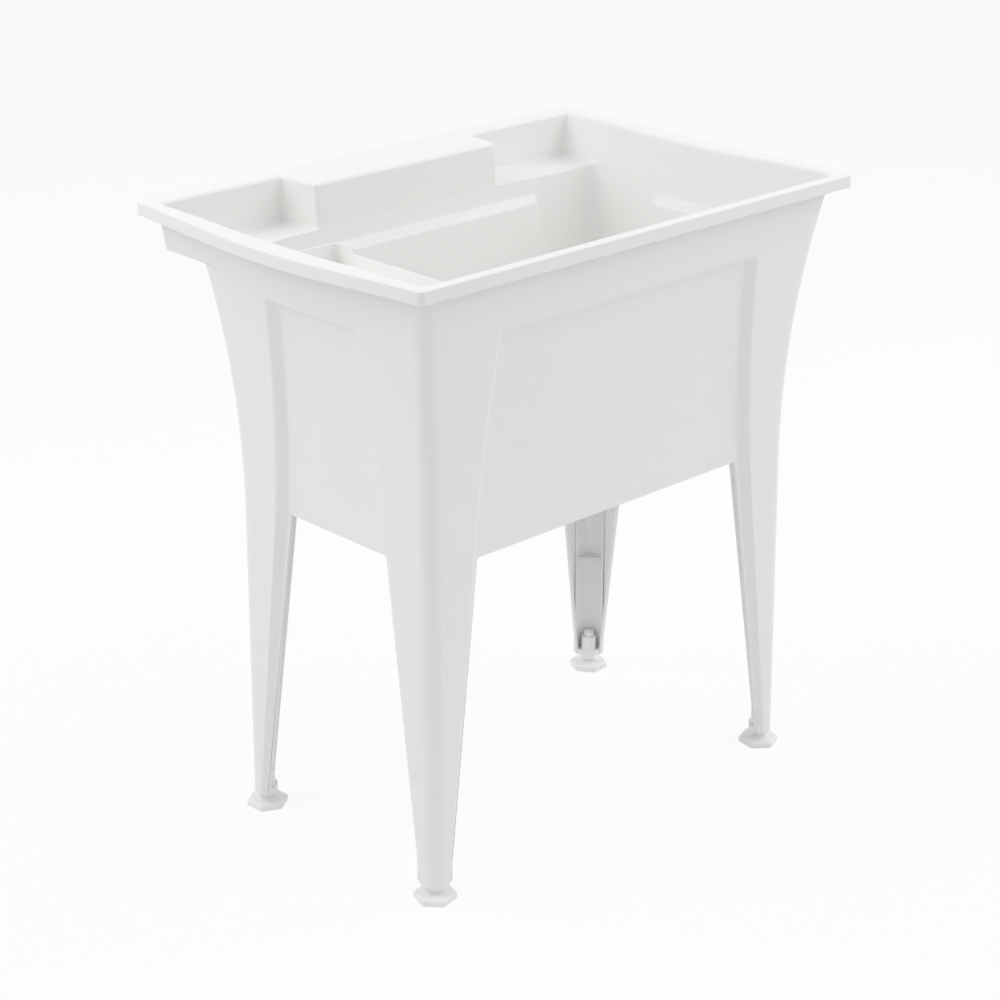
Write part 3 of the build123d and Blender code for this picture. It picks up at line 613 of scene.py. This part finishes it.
def solid_prism(name, outline, axis, low, high, material):
    """A prism as an object whose faces all point outwards."""
    piece = new_piece(name, [prism(outline, axis, low, high)], material)
    solid = bmesh.new()
    solid.from_mesh(piece.data)
    bmesh.ops.recalc_face_normals(solid, faces=solid.faces[:])
    solid.to_mesh(piece.data)
    solid.free()
    return piece


def side_tray(material):
    """A narrow tray along the left wall: a floor, a rear end and a partition whose rear part is higher.

    A rounded block is hollowed and its partition cut down; its left and front ends then follow the walls,
    with which they join in the thickness of the moulding.
    """
    tray = bpy.context.scene.sink_tray
    floor_flare = float(flare(tray.low))
    left = -(SIDE_WALL + floor_flare + tray.root)
    front = -(FRONT_WALL + floor_flare + tray.root)
    right, rear = tray.partition, tray.rear
    middle = (left + right) / 2
    inner_right, inner_rear = right - tray.wall, rear - tray.wall
    past = 40 * MM  # how far the cutters run past the block
    block = eased(
        [(middle, rear), (right, rear), (right, front), (left, front), (left, rear), (middle, rear)],
        [tray.corner + tray.wall, 0, tray.wall_corner, 0],
    )[:-1]
    hollow = eased(
        [(middle, inner_rear), (inner_right, inner_rear), (inner_right, front - past),
         (left - past, front - past), (left - past, inner_rear), (middle, inner_rear)],
        [tray.corner, 0, 0, 0],
    )[:-1]
    step = [(front - past, tray.front_top), (tray.step, tray.front_top),
            (tray.step + tray.step_slope, tray.rear_top + past), (front - past, tray.rear_top + past)]
    piece = solid_prism("tray", block, 2, tray.low, tray.rear_top, material)
    cuts = [
        solid_prism("tray_hollow", hollow, 2, tray.low + tray.wall, tray.rear_top + past, material),
        solid_prism("tray_step", step, 0, right - past, right + past, material),
    ]
    for cut in cuts:
        modify(piece, "BOOLEAN", operation="DIFFERENCE", solver="EXACT", object=cut)
    modify(piece, "BEVEL", limit_method="ANGLE", angle_limit=math.radians(35), width=tray.edge, segments=3)
    mesh = baked(piece)
    for cut in cuts:
        bpy.data.objects.remove(cut)
    points = mesh_points(mesh)
    lean = flare(points[:, 2]) - floor_flare
    points[:, 0] -= lean * (points[:, 0] < left + tray.wall_corner)
    points[:, 1] -= lean * (points[:, 1] < front + tray.wall_corner)
    mesh.vertices.foreach_set("co", points.ravel())
    shade_smooth(mesh)
    return mesh


def add_mesh(piece, mesh):
    """Adds another mesh to a piece's own."""
    whole = bmesh.new()
    whole.from_mesh(piece.data)
    whole.from_mesh(mesh)
    whole.to_mesh(piece.data)
    whole.free()
    bpy.data.meshes.remove(mesh)


# ---- levelling feet, in mm over the sole ----

FOOT_TURNS = {"front_left": 12.0, "front_right": -40.0, "rear_left": -26.0, "rear_right": 5.0}  # degrees
HEX_FLAT = 26.5  # from the axis to a flat
HEX_TOP = 9.5
STEM_RADIUS = 8.0
STEM_TOP = 62.0
STEM_PITCH = 2.5
STEM_GROOVE = 0.75


def levelling_foot(node, turn_degrees):
    """A hexagonal base whose top slopes up to a threaded stem, as one surface round the stem's axis.

    At each height the outline is the flat-to-flat radius times a blend of a rounded hexagon and a circle;
    on the stem the thread takes its groove off the radius.
    """
    low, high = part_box(node)
    centre = (low + high) / 2
    lower = eased(
        [(0, 0), (HEX_FLAT - 0.9, 0), (HEX_FLAT, 0.9), (HEX_FLAT, HEX_TOP - 2), (HEX_FLAT - 2, HEX_TOP),
         (14.8, 9.9), (9.4, 12.5), (STEM_RADIUS, 12.6), (STEM_RADIUS, STEM_TOP)],
        [0, 0.8, 0.8, 1.2, 1.2, 1.0, 0.6, 0.3],
    )[1:-1]
    heights = np.arange(13.2, STEM_TOP - 1, 0.1 * STEM_PITCH)
    stem = np.column_stack([np.full(len(heights), STEM_RADIUS), heights])
    rows = np.vstack([lower, stem, [(7.6, STEM_TOP - 0.6), (6.9, STEM_TOP - 0.1), (6.4, STEM_TOP)]])
    radius, height = rows[:, :1], rows[:, 1:]
    bearing = bearings(96)
    hexness = fade(radius, STEM_RADIUS + 0.5, STEM_RADIUS + 2.5)
    groove = thread_depth(height, bearing, STEM_PITCH)
    groove = groove * fade(height, 13.4, 15.0) * (1 - fade(height, STEM_TOP - 2.5, STEM_TOP - 1))
    radius = radius * (1 + hexness * (hexagon_radius(bearing, 70) - 1)) - STEM_GROOVE * groove
    bearing = bearing + math.radians(turn_degrees)
    points = round_axis(radius * MM, low.z + height * MM, bearing, (centre.x, centre.y))
    return closed_grid(points, low_pole=(centre.x, centre.y, low.z), high_pole=(centre.x, centre.y, high.z))


# ---- leg screws, in mm from the seat ----

LEG_CORNER = (-350.4, -236.1)  # outer corner of the front left leg at the seam
SCREW_HEIGHT = 507.0
SCREW_PLACE = 34.0  # from the leg's corner, along each face
SCREW_SEAT = 11.1  # from the leg's outer face, past the wall, the tongue and the socket's inner wall
HEAD_FLAT = 4.0
HEAD_HEIGHT = 3.0
SHANK_RADIUS = 2.0
SHANK_LENGTH = 7.0
SHANK_PITCH = 1.2
SHANK_GROOVE = 0.35


def screw_shape():
    """A hex-head screw, upright on its own line with its head below the seat: its grid, and its two poles."""
    outline = eased(
        [(0, -HEAD_HEIGHT), (3.0, -HEAD_HEIGHT), (HEAD_FLAT, 0.7 - HEAD_HEIGHT), (HEAD_FLAT, -0.5),
         (HEAD_FLAT, 0), (SHANK_RADIUS, 0), (SHANK_RADIUS, 6.2), (1.2, SHANK_LENGTH)],
        [0.2, 0.4, 0.1, 0.1, 0.1, 0.1],
        3,
    )
    head = outline[1:][outline[1:, 1] <= 0.001]
    heights = np.arange(0.3, 6.2, 0.1 * SHANK_PITCH)
    shank = np.column_stack([np.full(len(heights), SHANK_RADIUS), heights])
    rows = np.vstack([head, shank, [(1.6, 6.6), (1.2, 6.95)]])
    radius, height = rows[:, :1], rows[:, 1:]
    bearing = bearings(48)
    hexness = fade(radius, HEAD_FLAT - 0.8, HEAD_FLAT - 0.1)
    groove = thread_depth(height, bearing, SHANK_PITCH) * fade(height, 0.3, 0.8)
    radius = radius * (1 + hexness * (hexagon_radius(bearing, 60) - 1)) - SHANK_GROOVE * groove
    return round_axis(radius, height, bearing), np.array([(0, 0, -HEAD_HEIGHT), (0, 0, SHANK_LENGTH)])


def leg_screws(node):
    """Two hex-head screws, one through each face of a leg, pointing outwards.

    They are placed in the front left leg, and mirrored across the tub's middle lines for the others.
    """
    low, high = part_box(node)
    grid, poles = screw_shape()
    x, y = LEG_CORNER
    through_side = ([(0, 0, -1), (0, 1, 0), (1, 0, 0)], (x + SCREW_SEAT, y + SCREW_PLACE, SCREW_HEIGHT))
    through_end = ([(1, 0, 0), (0, 0, -1), (0, 1, 0)], (x + SCREW_PLACE, y + SCREW_SEAT, SCREW_HEIGHT))
    middle = np.array([*DRAIN, 0])
    mirror = np.array([-math.copysign(1, low.x), -math.copysign(1, (low.y + high.y) / 2 - DRAIN[1]), 1])
    parts = []
    for turn, place in (through_side, through_end):
        offset = np.array(place) * MM - middle
        points, ends = (middle + (spot @ np.transpose(turn) * MM + offset) * mirror for spot in (grid, poles))
        part = closed_grid(points, low_pole=ends[0], high_pole=ends[1])
        parts.append(part if mirror.prod() > 0 else turned_over(part))
    return parts


# ---- drain fittings, in mm ----

DRAIN_PITCH = 2.2
CUP_RADIUS = 21.3
FLANGE_RADIUS = 45.0
FLANGE_TOP = 558
PIPE_RADIUS = 24.15
NECK_RADIUS = 23.85  # the pipe above the washers
NECK_FOOT = 533.3
PIPE_FOOT = 496
PIPE_GROOVE = 0.9
BORE_RADIUS = 20
BAR_HALF = (1.5, 3.0)  # half the breadth and height of a crossbar
BAR_MIDDLE = 537
WASHER_BORE = 24.45


def drain_body():
    """Drain body as one closed profile carried round its axis, with a thread, and two crossbars."""
    seat = DRAIN_SEAT / MM
    line = eased(
        [(CUP_RADIUS, 552), (CUP_RADIUS, FLANGE_TOP), (39, FLANGE_TOP), (FLANGE_RADIUS, seat + 1.2),
         (FLANGE_RADIUS, seat), (NECK_RADIUS, seat), (NECK_RADIUS, NECK_FOOT), (PIPE_RADIUS, NECK_FOOT),
         (PIPE_RADIUS, PIPE_FOOT), (BORE_RADIUS, PIPE_FOOT), (BORE_RADIUS, 542), (CUP_RADIUS, 542),
         (CUP_RADIUS, 552)],
        [1.4, 2.5, 1.0, 0.3, 0.1, 0.1, 0.1, 0.6, 0.6, 0.8, 0.3],
        4,
    )[:-1]
    thread = np.arange(PIPE_FOOT + 1.5, 552.0, 0.3)[::-1]
    above = line[: np.argmax(line[:, 1] < seat - 0.1)]
    below = line[np.argmax((line[:, 1] < PIPE_FOOT + 1.2) & (line[:, 0] > 23)) :]
    outside = np.column_stack([np.where(thread > NECK_FOOT, NECK_RADIUS, PIPE_RADIUS), thread])
    rows = np.vstack([above, [(NECK_RADIUS, seat - 0.1)], outside, below])
    radius, height = rows[:, :1], rows[:, 1:]
    bearing = bearings(120)
    on_thread = (radius > 23) & (radius < 25) & (height < seat - 1)
    radius = radius - PIPE_GROOVE * thread_depth(height, bearing, DRAIN_PITCH) * on_thread
    shell = closed_grid(round_axis(radius * MM, height * MM, bearing, DRAIN), ring=True)
    return [turned_over(shell), crossbar(0.0), crossbar(math.pi / 2)]


def crossbar(turn):
    """A bar across the drain's waterway: a rounded oblong section carried along a straight line.

    The section's breadth and height are half sizes times the signed square roots of cosine and sine.
    """
    bearing = bearings(32)
    across, upright = (
        half * np.sign(wave) * np.abs(wave) ** 0.5
        for half, wave in zip(BAR_HALF, (np.cos(bearing), np.sin(bearing)))
    )
    reach = np.linspace(-BORE_RADIUS - 0.6, BORE_RADIUS + 0.6, 9)[:, None]
    x = reach * math.cos(turn) - across * math.sin(turn)
    y = reach * math.sin(turn) + across * math.cos(turn)
    points = np.stack([x, y, np.broadcast_to(BAR_MIDDLE + upright, x.shape)], axis=-1) * MM
    points = points + np.array([*DRAIN, 0])
    return closed_grid(points, low_pole=points[0].mean(0), high_pole=points[-1].mean(0))


def ring_washer(node, outer, edge):
    """A flat ring: a rounded rectangle of radius and height carried round the drain's axis."""
    low, high = (corner.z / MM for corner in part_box(node))
    middle = (WASHER_BORE + outer) / 2
    line = eased(
        [(middle, low), (outer, low), (outer, high), (WASHER_BORE, high), (WASHER_BORE, low), (middle, low)],
        [edge] * 4,
    )[:-1] * MM
    return [closed_grid(round_axis(line[:, :1], line[:, 1:], bearings(128), DRAIN), ring=True)]


LUG_COUNT = 8
LUG_LENGTH = 5.0
HUB_RADIUS = 30
LUG_EDGES = (3.4, 4.4)  # a lug falls away between these distances from its middle line
NUT_HEIGHT = 12
NUT_GROOVE = 0.5

# Outside of the nut from the bottom up: hub's radius, height, and how much of the lugs is there.
NUT_OUTLINE = [
    (27, 0, 0), (29.2, 0, 1), (29.8, 0.15, 1), (30, 0.7, 1), (30, 2, 1), (30, 4, 1), (30, 6, 1), (30, 8, 1),
    (30, 8.7, 1), (30.4, 9, 1), (32, 9.05, 0.6), (34.3, 9.15, 0.14), (34.8, 9.5, 0.04), (35, 10, 0),
    (35, 11.2, 0), (34.7, 11.8, 0), (34.1, 12, 0), (30, 12, 0), (26, 12, 0), (24.9, 11.9, 0), (24.5, 11.5, 0),
]


def locknut():
    """A locknut with lugs: one closed profile whose outer radius swells from the hub to the lugs.

    At each bearing the radius is the hub's, plus the lugs' length where the distance to the nearest lug's
    middle line is less than its half width.
    """
    low, high = (corner.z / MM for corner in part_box("drain_locknut"))
    bearing = bearings(512)
    half_step = math.pi / LUG_COUNT
    nearest = (bearing + half_step) % (2 * half_step) - half_step
    lug = 1 - fade(np.abs(np.sin(nearest)) * (HUB_RADIUS + LUG_LENGTH / 2), *LUG_EDGES)
    rows = np.array(NUT_OUTLINE)
    inner = low + np.arange(0.6, 11.4, 0.3)[::-1][:, None]
    radius = np.vstack([
        rows[:, :1] + LUG_LENGTH * lug * rows[:, 2:],
        WASHER_BORE + NUT_GROOVE * thread_depth(inner, bearing, DRAIN_PITCH),
        np.full((1, len(bearing)), 24.9),
    ])
    height = np.vstack([low + rows[:, 1:2] * (high - low) / NUT_HEIGHT, inner, [[low + 0.1]]])
    return [closed_grid(round_axis(radius * MM, height * MM, bearing, DRAIN), ring=True)]


PLUG_RADIUS = 21
PLUG_FOOT = 542.3
PLUG_TOP = 561.9
BRIM_RADIUS = 26
BRIM_FOOT = 558.3
BRIM_TOP = 561.3
RING_RADIUS = 9  # to the middle of its section
RING_SECTION = 2
RING_MIDDLE = 571


def rubber_stopper():
    """A plug with a thin brim, turned from one profile, and a round finger ring moulded to its top."""
    line = eased(
        [(0, PLUG_FOOT), (PLUG_RADIUS - 0.8, PLUG_FOOT), (PLUG_RADIUS, PLUG_FOOT + 0.9),
         (PLUG_RADIUS, BRIM_FOOT), (BRIM_RADIUS, BRIM_FOOT), (BRIM_RADIUS, BRIM_TOP), (9, BRIM_TOP),
         (6, PLUG_TOP), (0, PLUG_TOP)],
        [0.5, 0.8, 0.5, 0.7, 1.2, 1.5, 1.5],
    )[1:-1] * MM
    plug = closed_grid(
        round_axis(line[:, :1], line[:, 1:], bearings(96), DRAIN),
        low_pole=(*DRAIN, PLUG_FOOT * MM),
        high_pole=(*DRAIN, PLUG_TOP * MM),
    )
    around, section = bearings(72)[:, None], bearings(24)
    radius = (RING_RADIUS + RING_SECTION * np.cos(section)) * MM
    x = DRAIN[0] + radius * np.cos(around)
    y = np.broadcast_to(DRAIN[1] + RING_SECTION * np.sin(section) * MM, x.shape)
    z = RING_MIDDLE * MM + radius * np.sin(around)
    return [plug, turned_over(closed_grid(np.stack([x, y, z], axis=-1), ring=True))]


# ---- stage ----

FLOOR_HALF = 14.0
FLOOR_LINES = 15
FLOOR_WHITENESS = 0.88  # how far the floor is drawn towards white where the camera sees it
LAMP_REACH = 3.2  # from the middle of the sink
LAMP_SIZE = 2.4
MIDDLE = Vector((0, 0, 0.5))


def direction(turn, tilt):
    """Unit vector away from the sink at a bearing from the front and an angle above the horizon."""
    return Vector((math.sin(turn) * math.cos(tilt), -math.cos(turn) * math.cos(tilt), math.sin(tilt)))


def seen_ray(finish):
    """1 for what the camera sees, directly, mirrored or through glass, and 0 for other light."""
    camera, glossy, through = (
        finish.node("ShaderNodeLightPath", output=name)
        for name in ("Is Camera Ray", "Is Glossy Ray", "Is Transmission Ray")
    )
    return finish.node("ShaderNodeClamp", {}, {0: camera + glossy + through})


def pale_floor():
    """A wide pale floor, drawn nearly white, that keeps the sink's shadow."""
    steps = np.linspace(-FLOOR_HALF, FLOOR_HALF, FLOOR_LINES)
    x, y = np.meshgrid(steps, steps)
    points = np.stack([x, y, np.zeros_like(x)], axis=-1).reshape(-1, 3)
    index = np.arange(len(points)).reshape(x.shape)
    faces = np.stack([index[:-1, :-1], index[:-1, 1:], index[1:, 1:], index[1:, :-1]], axis=-1).reshape(-1, 4)
    finish = Finish(bpy.data.materials.new("floor_paint"))
    cloud = finish.noise(size=0.9, detail=2)
    paint = finish.blend(cloud, (0.93, 0.93, 0.93), (0.95, 0.95, 0.95))
    matt = finish.node("ShaderNodeBsdfDiffuse", {}, {"Color": paint, "Roughness": 0.0})
    white = finish.node("ShaderNodeEmission", {}, {"Color": (1, 1, 1, 1), "Strength": 1.0})
    mixed = finish.node("ShaderNodeMixShader", {}, {0: seen_ray(finish) * FLOOR_WHITENESS, 1: matt, 2: white})
    finish.node("ShaderNodeOutputMaterial", {}, {"Surface": mixed})
    return new_piece("floor", [(points, faces.tolist())], finish.owner)


def even_sky(strength):
    """A sky that is white to the camera, and even light of the given strength to everything else."""
    sky = Finish(bpy.data.worlds.new("studio"))
    seen = seen_ray(sky)
    light = {"Color": (1, 1, 1, 1), "Strength": seen + (1 - seen) * strength}
    sky.node("ShaderNodeOutputWorld", {}, {"Surface": sky.node("ShaderNodeBackground", {}, light)})
    return sky.owner


def soft_lamp(name, bearing, rise, power):
    """A square lamp that faces the middle of the sink."""
    lamp = bpy.data.lights.new(name, "AREA")
    lamp.energy = power
    lamp.size = LAMP_SIZE
    away = direction(math.radians(bearing), math.radians(rise))
    holder = in_scene(name, lamp)
    holder.location = MIDDLE + away * LAMP_REACH
    holder.rotation_euler = away.to_track_quat("Z", "Y").to_euler()


def sink_camera(settings):
    """A camera at a bearing, height and distance from its aim, turned a little about its own line."""
    away = direction(settings.azimuth, settings.elevation)
    right = Vector((0, 0, 1)).cross(away).normalized()
    up = away.cross(right)
    level, twist = math.cos(settings.roll), math.sin(settings.roll)
    place = Matrix((right * level + up * twist, up * level - right * twist, away)).transposed().to_4x4()
    place.translation = Vector(settings.aim) + away * settings.distance
    camera = bpy.data.cameras.new("camera")
    camera.lens = settings.lens
    camera.sensor_width = 36.0
    camera.clip_end = 60.0
    holder = in_scene("camera", camera)
    holder.matrix_world = place
    return holder


# ---- settings ----


def length_setting(name, default, description):
    return bpy.props.FloatProperty(name=name, description=description, default=default, unit="LENGTH")


def angle_setting(name, degrees, description):
    default = math.radians(degrees)
    return bpy.props.FloatProperty(name=name, description=description, default=default, subtype="ANGLE")


def power_setting(name, watts):
    return bpy.props.FloatProperty(name=name, description="Power in watts", default=watts, unit="POWER")


def colour_setting(name, default, description):
    return bpy.props.FloatVectorProperty(
        name=name, description=description, default=default, size=3, min=0, max=1, subtype="COLOR"
    )


class SinkMouldingSettings(bpy.types.PropertyGroup):
    """Roundings of the tub and the lower legs."""

    rim_edge: length_setting("Rim edge", 0.0018, "Rounding of the rim's outer top edge")
    lip_foot_edge: length_setting("Lip foot", 0.0009, "Rounding of the lower edge of the rim's lip")
    rim_inner_edge: length_setting("Inner rim edge", 0.005, "Rounding where the rim turns into the basin")
    deck_corner: length_setting("Deck corner", 0.006, "Rounding of the deck's upright edges")
    shelf_edge: length_setting("Shelf edge", 0.0045, "Rounding of the shelves' front edge")
    shelf_corner: length_setting("Shelf corner", 0.005, "Rounding inside the shelves")
    basin_foot: length_setting("Basin foot", 0.010, "Rounding between the basin's walls and floor")
    basin_ledge: length_setting("Basin ledge", 0.003, "Rounding of the ledges on the basin's walls")
    panel_edge: length_setting("Panel edge", 0.0025, "Rounding of the recessed panels' edges")
    leg_edge: length_setting("Leg edge", 0.0008, "Rounding of the legs' long edges")
    seam_edge: length_setting("Seam edge", 0.0007, "Rounding where the legs meet the tub")


class SinkTraySettings(bpy.types.PropertyGroup):
    """The tray along the basin's left wall."""

    low: length_setting("Low", 0.860, "Height of the underside")
    front_top: length_setting("Front top", 0.880, "Height of the partition's front part")
    rear_top: length_setting("Rear top", 0.889, "Height of the rear end and the raised part")
    partition: length_setting("Partition", -0.3225, "Place of the partition's basin side")
    rear: length_setting("Rear", -0.033, "Place of the rear end")
    step: length_setting("Step", -0.069, "Where the partition's raised part starts")
    step_slope: length_setting("Step slope", 0.010, "Run of the slope of the step's cutter")
    wall: length_setting("Wall", 0.003, "Thickness of the tray")
    root: length_setting("Root", 0.0018, "How far the tray's ends run into the tub's wall")
    corner: length_setting("Corner", 0.012, "Inner rounding of the free rear corner")
    wall_corner: length_setting("Wall corner", 0.019, "Rounding in the basin's own corner")
    edge: length_setting("Edge", 0.0012, "Rounding of the edges")


class SinkFinishSettings(bpy.types.PropertyGroup):
    """Colours and gloss."""

    tub_colour: colour_setting("Tub", (0.935, 0.945, 0.928), "Colour of the tub and the legs")
    foot_colour: colour_setting("Feet", (0.96, 0.965, 0.955), "Colour of the levelling feet")
    drain_colour: colour_setting("Drain", (0.88, 0.88, 0.87), "Colour of the drain body and its locknut")
    washer_colour: colour_setting("Slip washer", (0.72, 0.66, 0.52), "Colour of the fibre washer")
    rubber_colour: colour_setting("Rubber", (0.035, 0.035, 0.036), "Colour of the gasket and the stopper")
    steel_colour: colour_setting("Screws", (0.72, 0.72, 0.73), "Colour of the leg screws")
    tub_roughness: bpy.props.FloatProperty(
        name="Roughness", description="Roughness of the tub and the legs", default=0.42, min=0, max=1
    )


class SinkStageSettings(bpy.types.PropertyGroup):
    """Camera, floor and lamps."""

    azimuth: angle_setting("Azimuth", -43.27, "Camera's bearing from the front")
    elevation: angle_setting("Elevation", 21.98, "Camera's height above the horizon")
    roll: angle_setting("Roll", -0.18, "Camera's turn about its own line")
    distance: length_setting("Distance", 3.56539, "Camera to its aim")
    aim: bpy.props.FloatVectorProperty(
        name="Aim", description="Point the camera looks at", default=(-0.007, -0.004, 0.4326), size=3,
        subtype="TRANSLATION",
    )
    lens: bpy.props.FloatProperty(name="Lens", description="Focal length", default=88.57, unit="CAMERA")
    sky: bpy.props.FloatProperty(name="Sky", description="Light from all round", default=0.565)
    left_lamp: power_setting("Left lamp", 31.0)
    right_lamp: power_setting("Right lamp", 19.0)
    side_lamp: power_setting("Side lamp", 17.0)
    back_lamp: power_setting("Back lamp", 3.0)


# ---- operators ----


class SINK_OT_tub(bpy.types.Operator):
    """Make the moulded tub"""

    bl_idname = "sink.tub"
    bl_label = "Tub"

    def execute(self, context):
        colours = context.scene.sink_finish
        plastic = moulded_plastic(
            "tub_plastic", colours.tub_colour, colours.tub_roughness, grain=0.25, waviness=0.6 * MM
        )
        shape = clear_beside_roundings(whole_copy("tub"), tub_widths, INSIDE_FLOOR)
        split_shelf_edges(shape)
        tub = rounded_moulding("tub_moulding", shape, tub_widths, plastic, segments=4)
        add_mesh(tub, side_tray(plastic))
        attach(tub, "sink")
        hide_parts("tub")
        return {"FINISHED"}


class SINK_OT_legs(bpy.types.Operator):
    """Make the four lower legs"""

    bl_idname = "sink.legs"
    bl_label = "Lower legs"

    def execute(self, context):
        colours = context.scene.sink_finish
        plastic = moulded_plastic(
            "leg_plastic", colours.tub_colour, colours.tub_roughness, grain=0.25, waviness=0.5 * MM
        )
        for corner in CORNERS:
            node = "leg_" + corner
            leg = rounded_moulding(node + "_moulding", whole_copy(node), leg_widths, plastic, segments=2)
            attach(leg, "sink")
            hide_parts(node)
        return {"FINISHED"}


class SINK_OT_feet(bpy.types.Operator):
    """Make the four levelling feet"""

    bl_idname = "sink.feet"
    bl_label = "Levelling feet"

    def execute(self, context):
        colour = context.scene.sink_finish.foot_colour
        plastic = moulded_plastic("foot_plastic", colour, roughness=0.38, grain=0.3, waviness=0.2 * MM)
        for corner in CORNERS:
            node = "foot_" + corner
            foot = new_piece(node + "_moulding", [levelling_foot(node, FOOT_TURNS[corner])], plastic)
            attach(foot, corner + "_foot")
            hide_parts(node)
        return {"FINISHED"}


class SINK_OT_screws(bpy.types.Operator):
    """Make the hex-head screws that hold the legs"""

    bl_idname = "sink.screws"
    bl_label = "Leg screws"

    def execute(self, context):
        steel = plated_steel("screw_steel", context.scene.sink_finish.steel_colour)
        for corner in CORNERS:
            node = "leg_screws_" + corner
            screws = new_piece(node + "_turned", leg_screws(node), steel)
            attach(screws, "sink")
            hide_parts(node)
        return {"FINISHED"}


class SINK_OT_drain(bpy.types.Operator):
    """Make the drain body, its gasket, slip washer and locknut"""

    bl_idname = "sink.drain"
    bl_label = "Drain fittings"

    def execute(self, context):
        colours = context.scene.sink_finish
        plastic = moulded_plastic(
            "drain_plastic", colours.drain_colour, roughness=0.36, grain=0.2, waviness=0.2 * MM
        )
        rubber = moulded_rubber("seal_rubber", colours.rubber_colour, bloom=(0.06, 0.06, 0.06))
        fibre = fibre_sheet("washer_fibre", colours.washer_colour)
        gasket = ring_washer("drain_gasket", outer=38.0, edge=0.7)
        slip_washer = ring_washer("drain_friction_washer", outer=37.0, edge=0.2)
        for node, suffix, parts, material, slot in (
            ("drain_body", "_turned", drain_body(), plastic, "drain_plastic"),
            ("drain_locknut", "_turned", locknut(), plastic, "drain_plastic"),
            ("drain_gasket", "_ring", gasket, rubber, "seal_rubber"),
            ("drain_friction_washer", "_ring", slip_washer, fibre, "washer_plastic"),
        ):
            piece = new_piece(node + suffix, parts, material)
            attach(piece, "sink")
            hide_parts(node)
        return {"FINISHED"}


class SINK_OT_stopper(bpy.types.Operator):
    """Make the rubber stopper with its finger ring"""

    bl_idname = "sink.stopper"
    bl_label = "Stopper"

    def execute(self, context):
        colour = context.scene.sink_finish.rubber_colour
        rubber = moulded_rubber("stopper_rubber", colour, bloom=(0.075, 0.075, 0.075))
        piece = new_piece("drain_stopper_moulding", rubber_stopper(), rubber)
        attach(piece, "stopper")
        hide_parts("drain_stopper")
        return {"FINISHED"}


class SINK_OT_stage(bpy.types.Operator):
    """Make the floor, the lamps and the camera"""

    bl_idname = "sink.stage"
    bl_label = "Stage"

    def execute(self, context):
        settings = context.scene.sink_stage
        floor = pale_floor()
        context.scene.world = even_sky(settings.sky)
        soft_lamp("left_lamp", -122, 45, settings.left_lamp)
        soft_lamp("right_lamp", 36, 45, settings.right_lamp)
        soft_lamp("side_lamp", 80, 35, settings.side_lamp)
        soft_lamp("back_lamp", 170, 40, settings.back_lamp)
        context.scene.camera = sink_camera(settings)
        context.scene.view_settings.view_transform = "Standard"
        return {"FINISHED"}


class SINK_PT_panel(bpy.types.Panel):
    """The sink's sizes, colours and pieces"""

    bl_label = "Laundry sink"
    bl_idname = "SINK_PT_panel"
    bl_space_type = "VIEW_3D"
    bl_region_type = "UI"
    bl_category = "Laundry sink"

    def draw(self, context):
        for name, kind in SETTINGS.items():
            box = self.layout.box()
            for setting in kind.__annotations__:
                box.prop(getattr(context.scene, name), setting)
        for operator in OPERATORS:
            self.layout.operator(operator.bl_idname)


SETTINGS = {
    "sink_moulding": SinkMouldingSettings,
    "sink_tray": SinkTraySettings,
    "sink_finish": SinkFinishSettings,
    "sink_stage": SinkStageSettings,
}
OPERATORS = (
    SINK_OT_tub, SINK_OT_legs, SINK_OT_feet, SINK_OT_screws, SINK_OT_drain, SINK_OT_stopper, SINK_OT_stage,
)
CLASSES = (*SETTINGS.values(), *OPERATORS, SINK_PT_panel)


def register():
    for kind in CLASSES:
        bpy.utils.register_class(kind)
    for name, kind in SETTINGS.items():
        setattr(bpy.types.Scene, name, bpy.props.PointerProperty(type=kind))


def unregister():
    for name in SETTINGS:
        delattr(bpy.types.Scene, name)
    for kind in reversed(CLASSES):
        bpy.utils.unregister_class(kind)


def main():
    register()
    bpy.ops.sink.tub()
    bpy.ops.sink.legs()
    bpy.ops.sink.feet()
    bpy.ops.sink.screws()
    bpy.ops.sink.drain()
    bpy.ops.sink.stopper()
    bpy.ops.sink.stage()


if __name__ == "__main__":
    main()
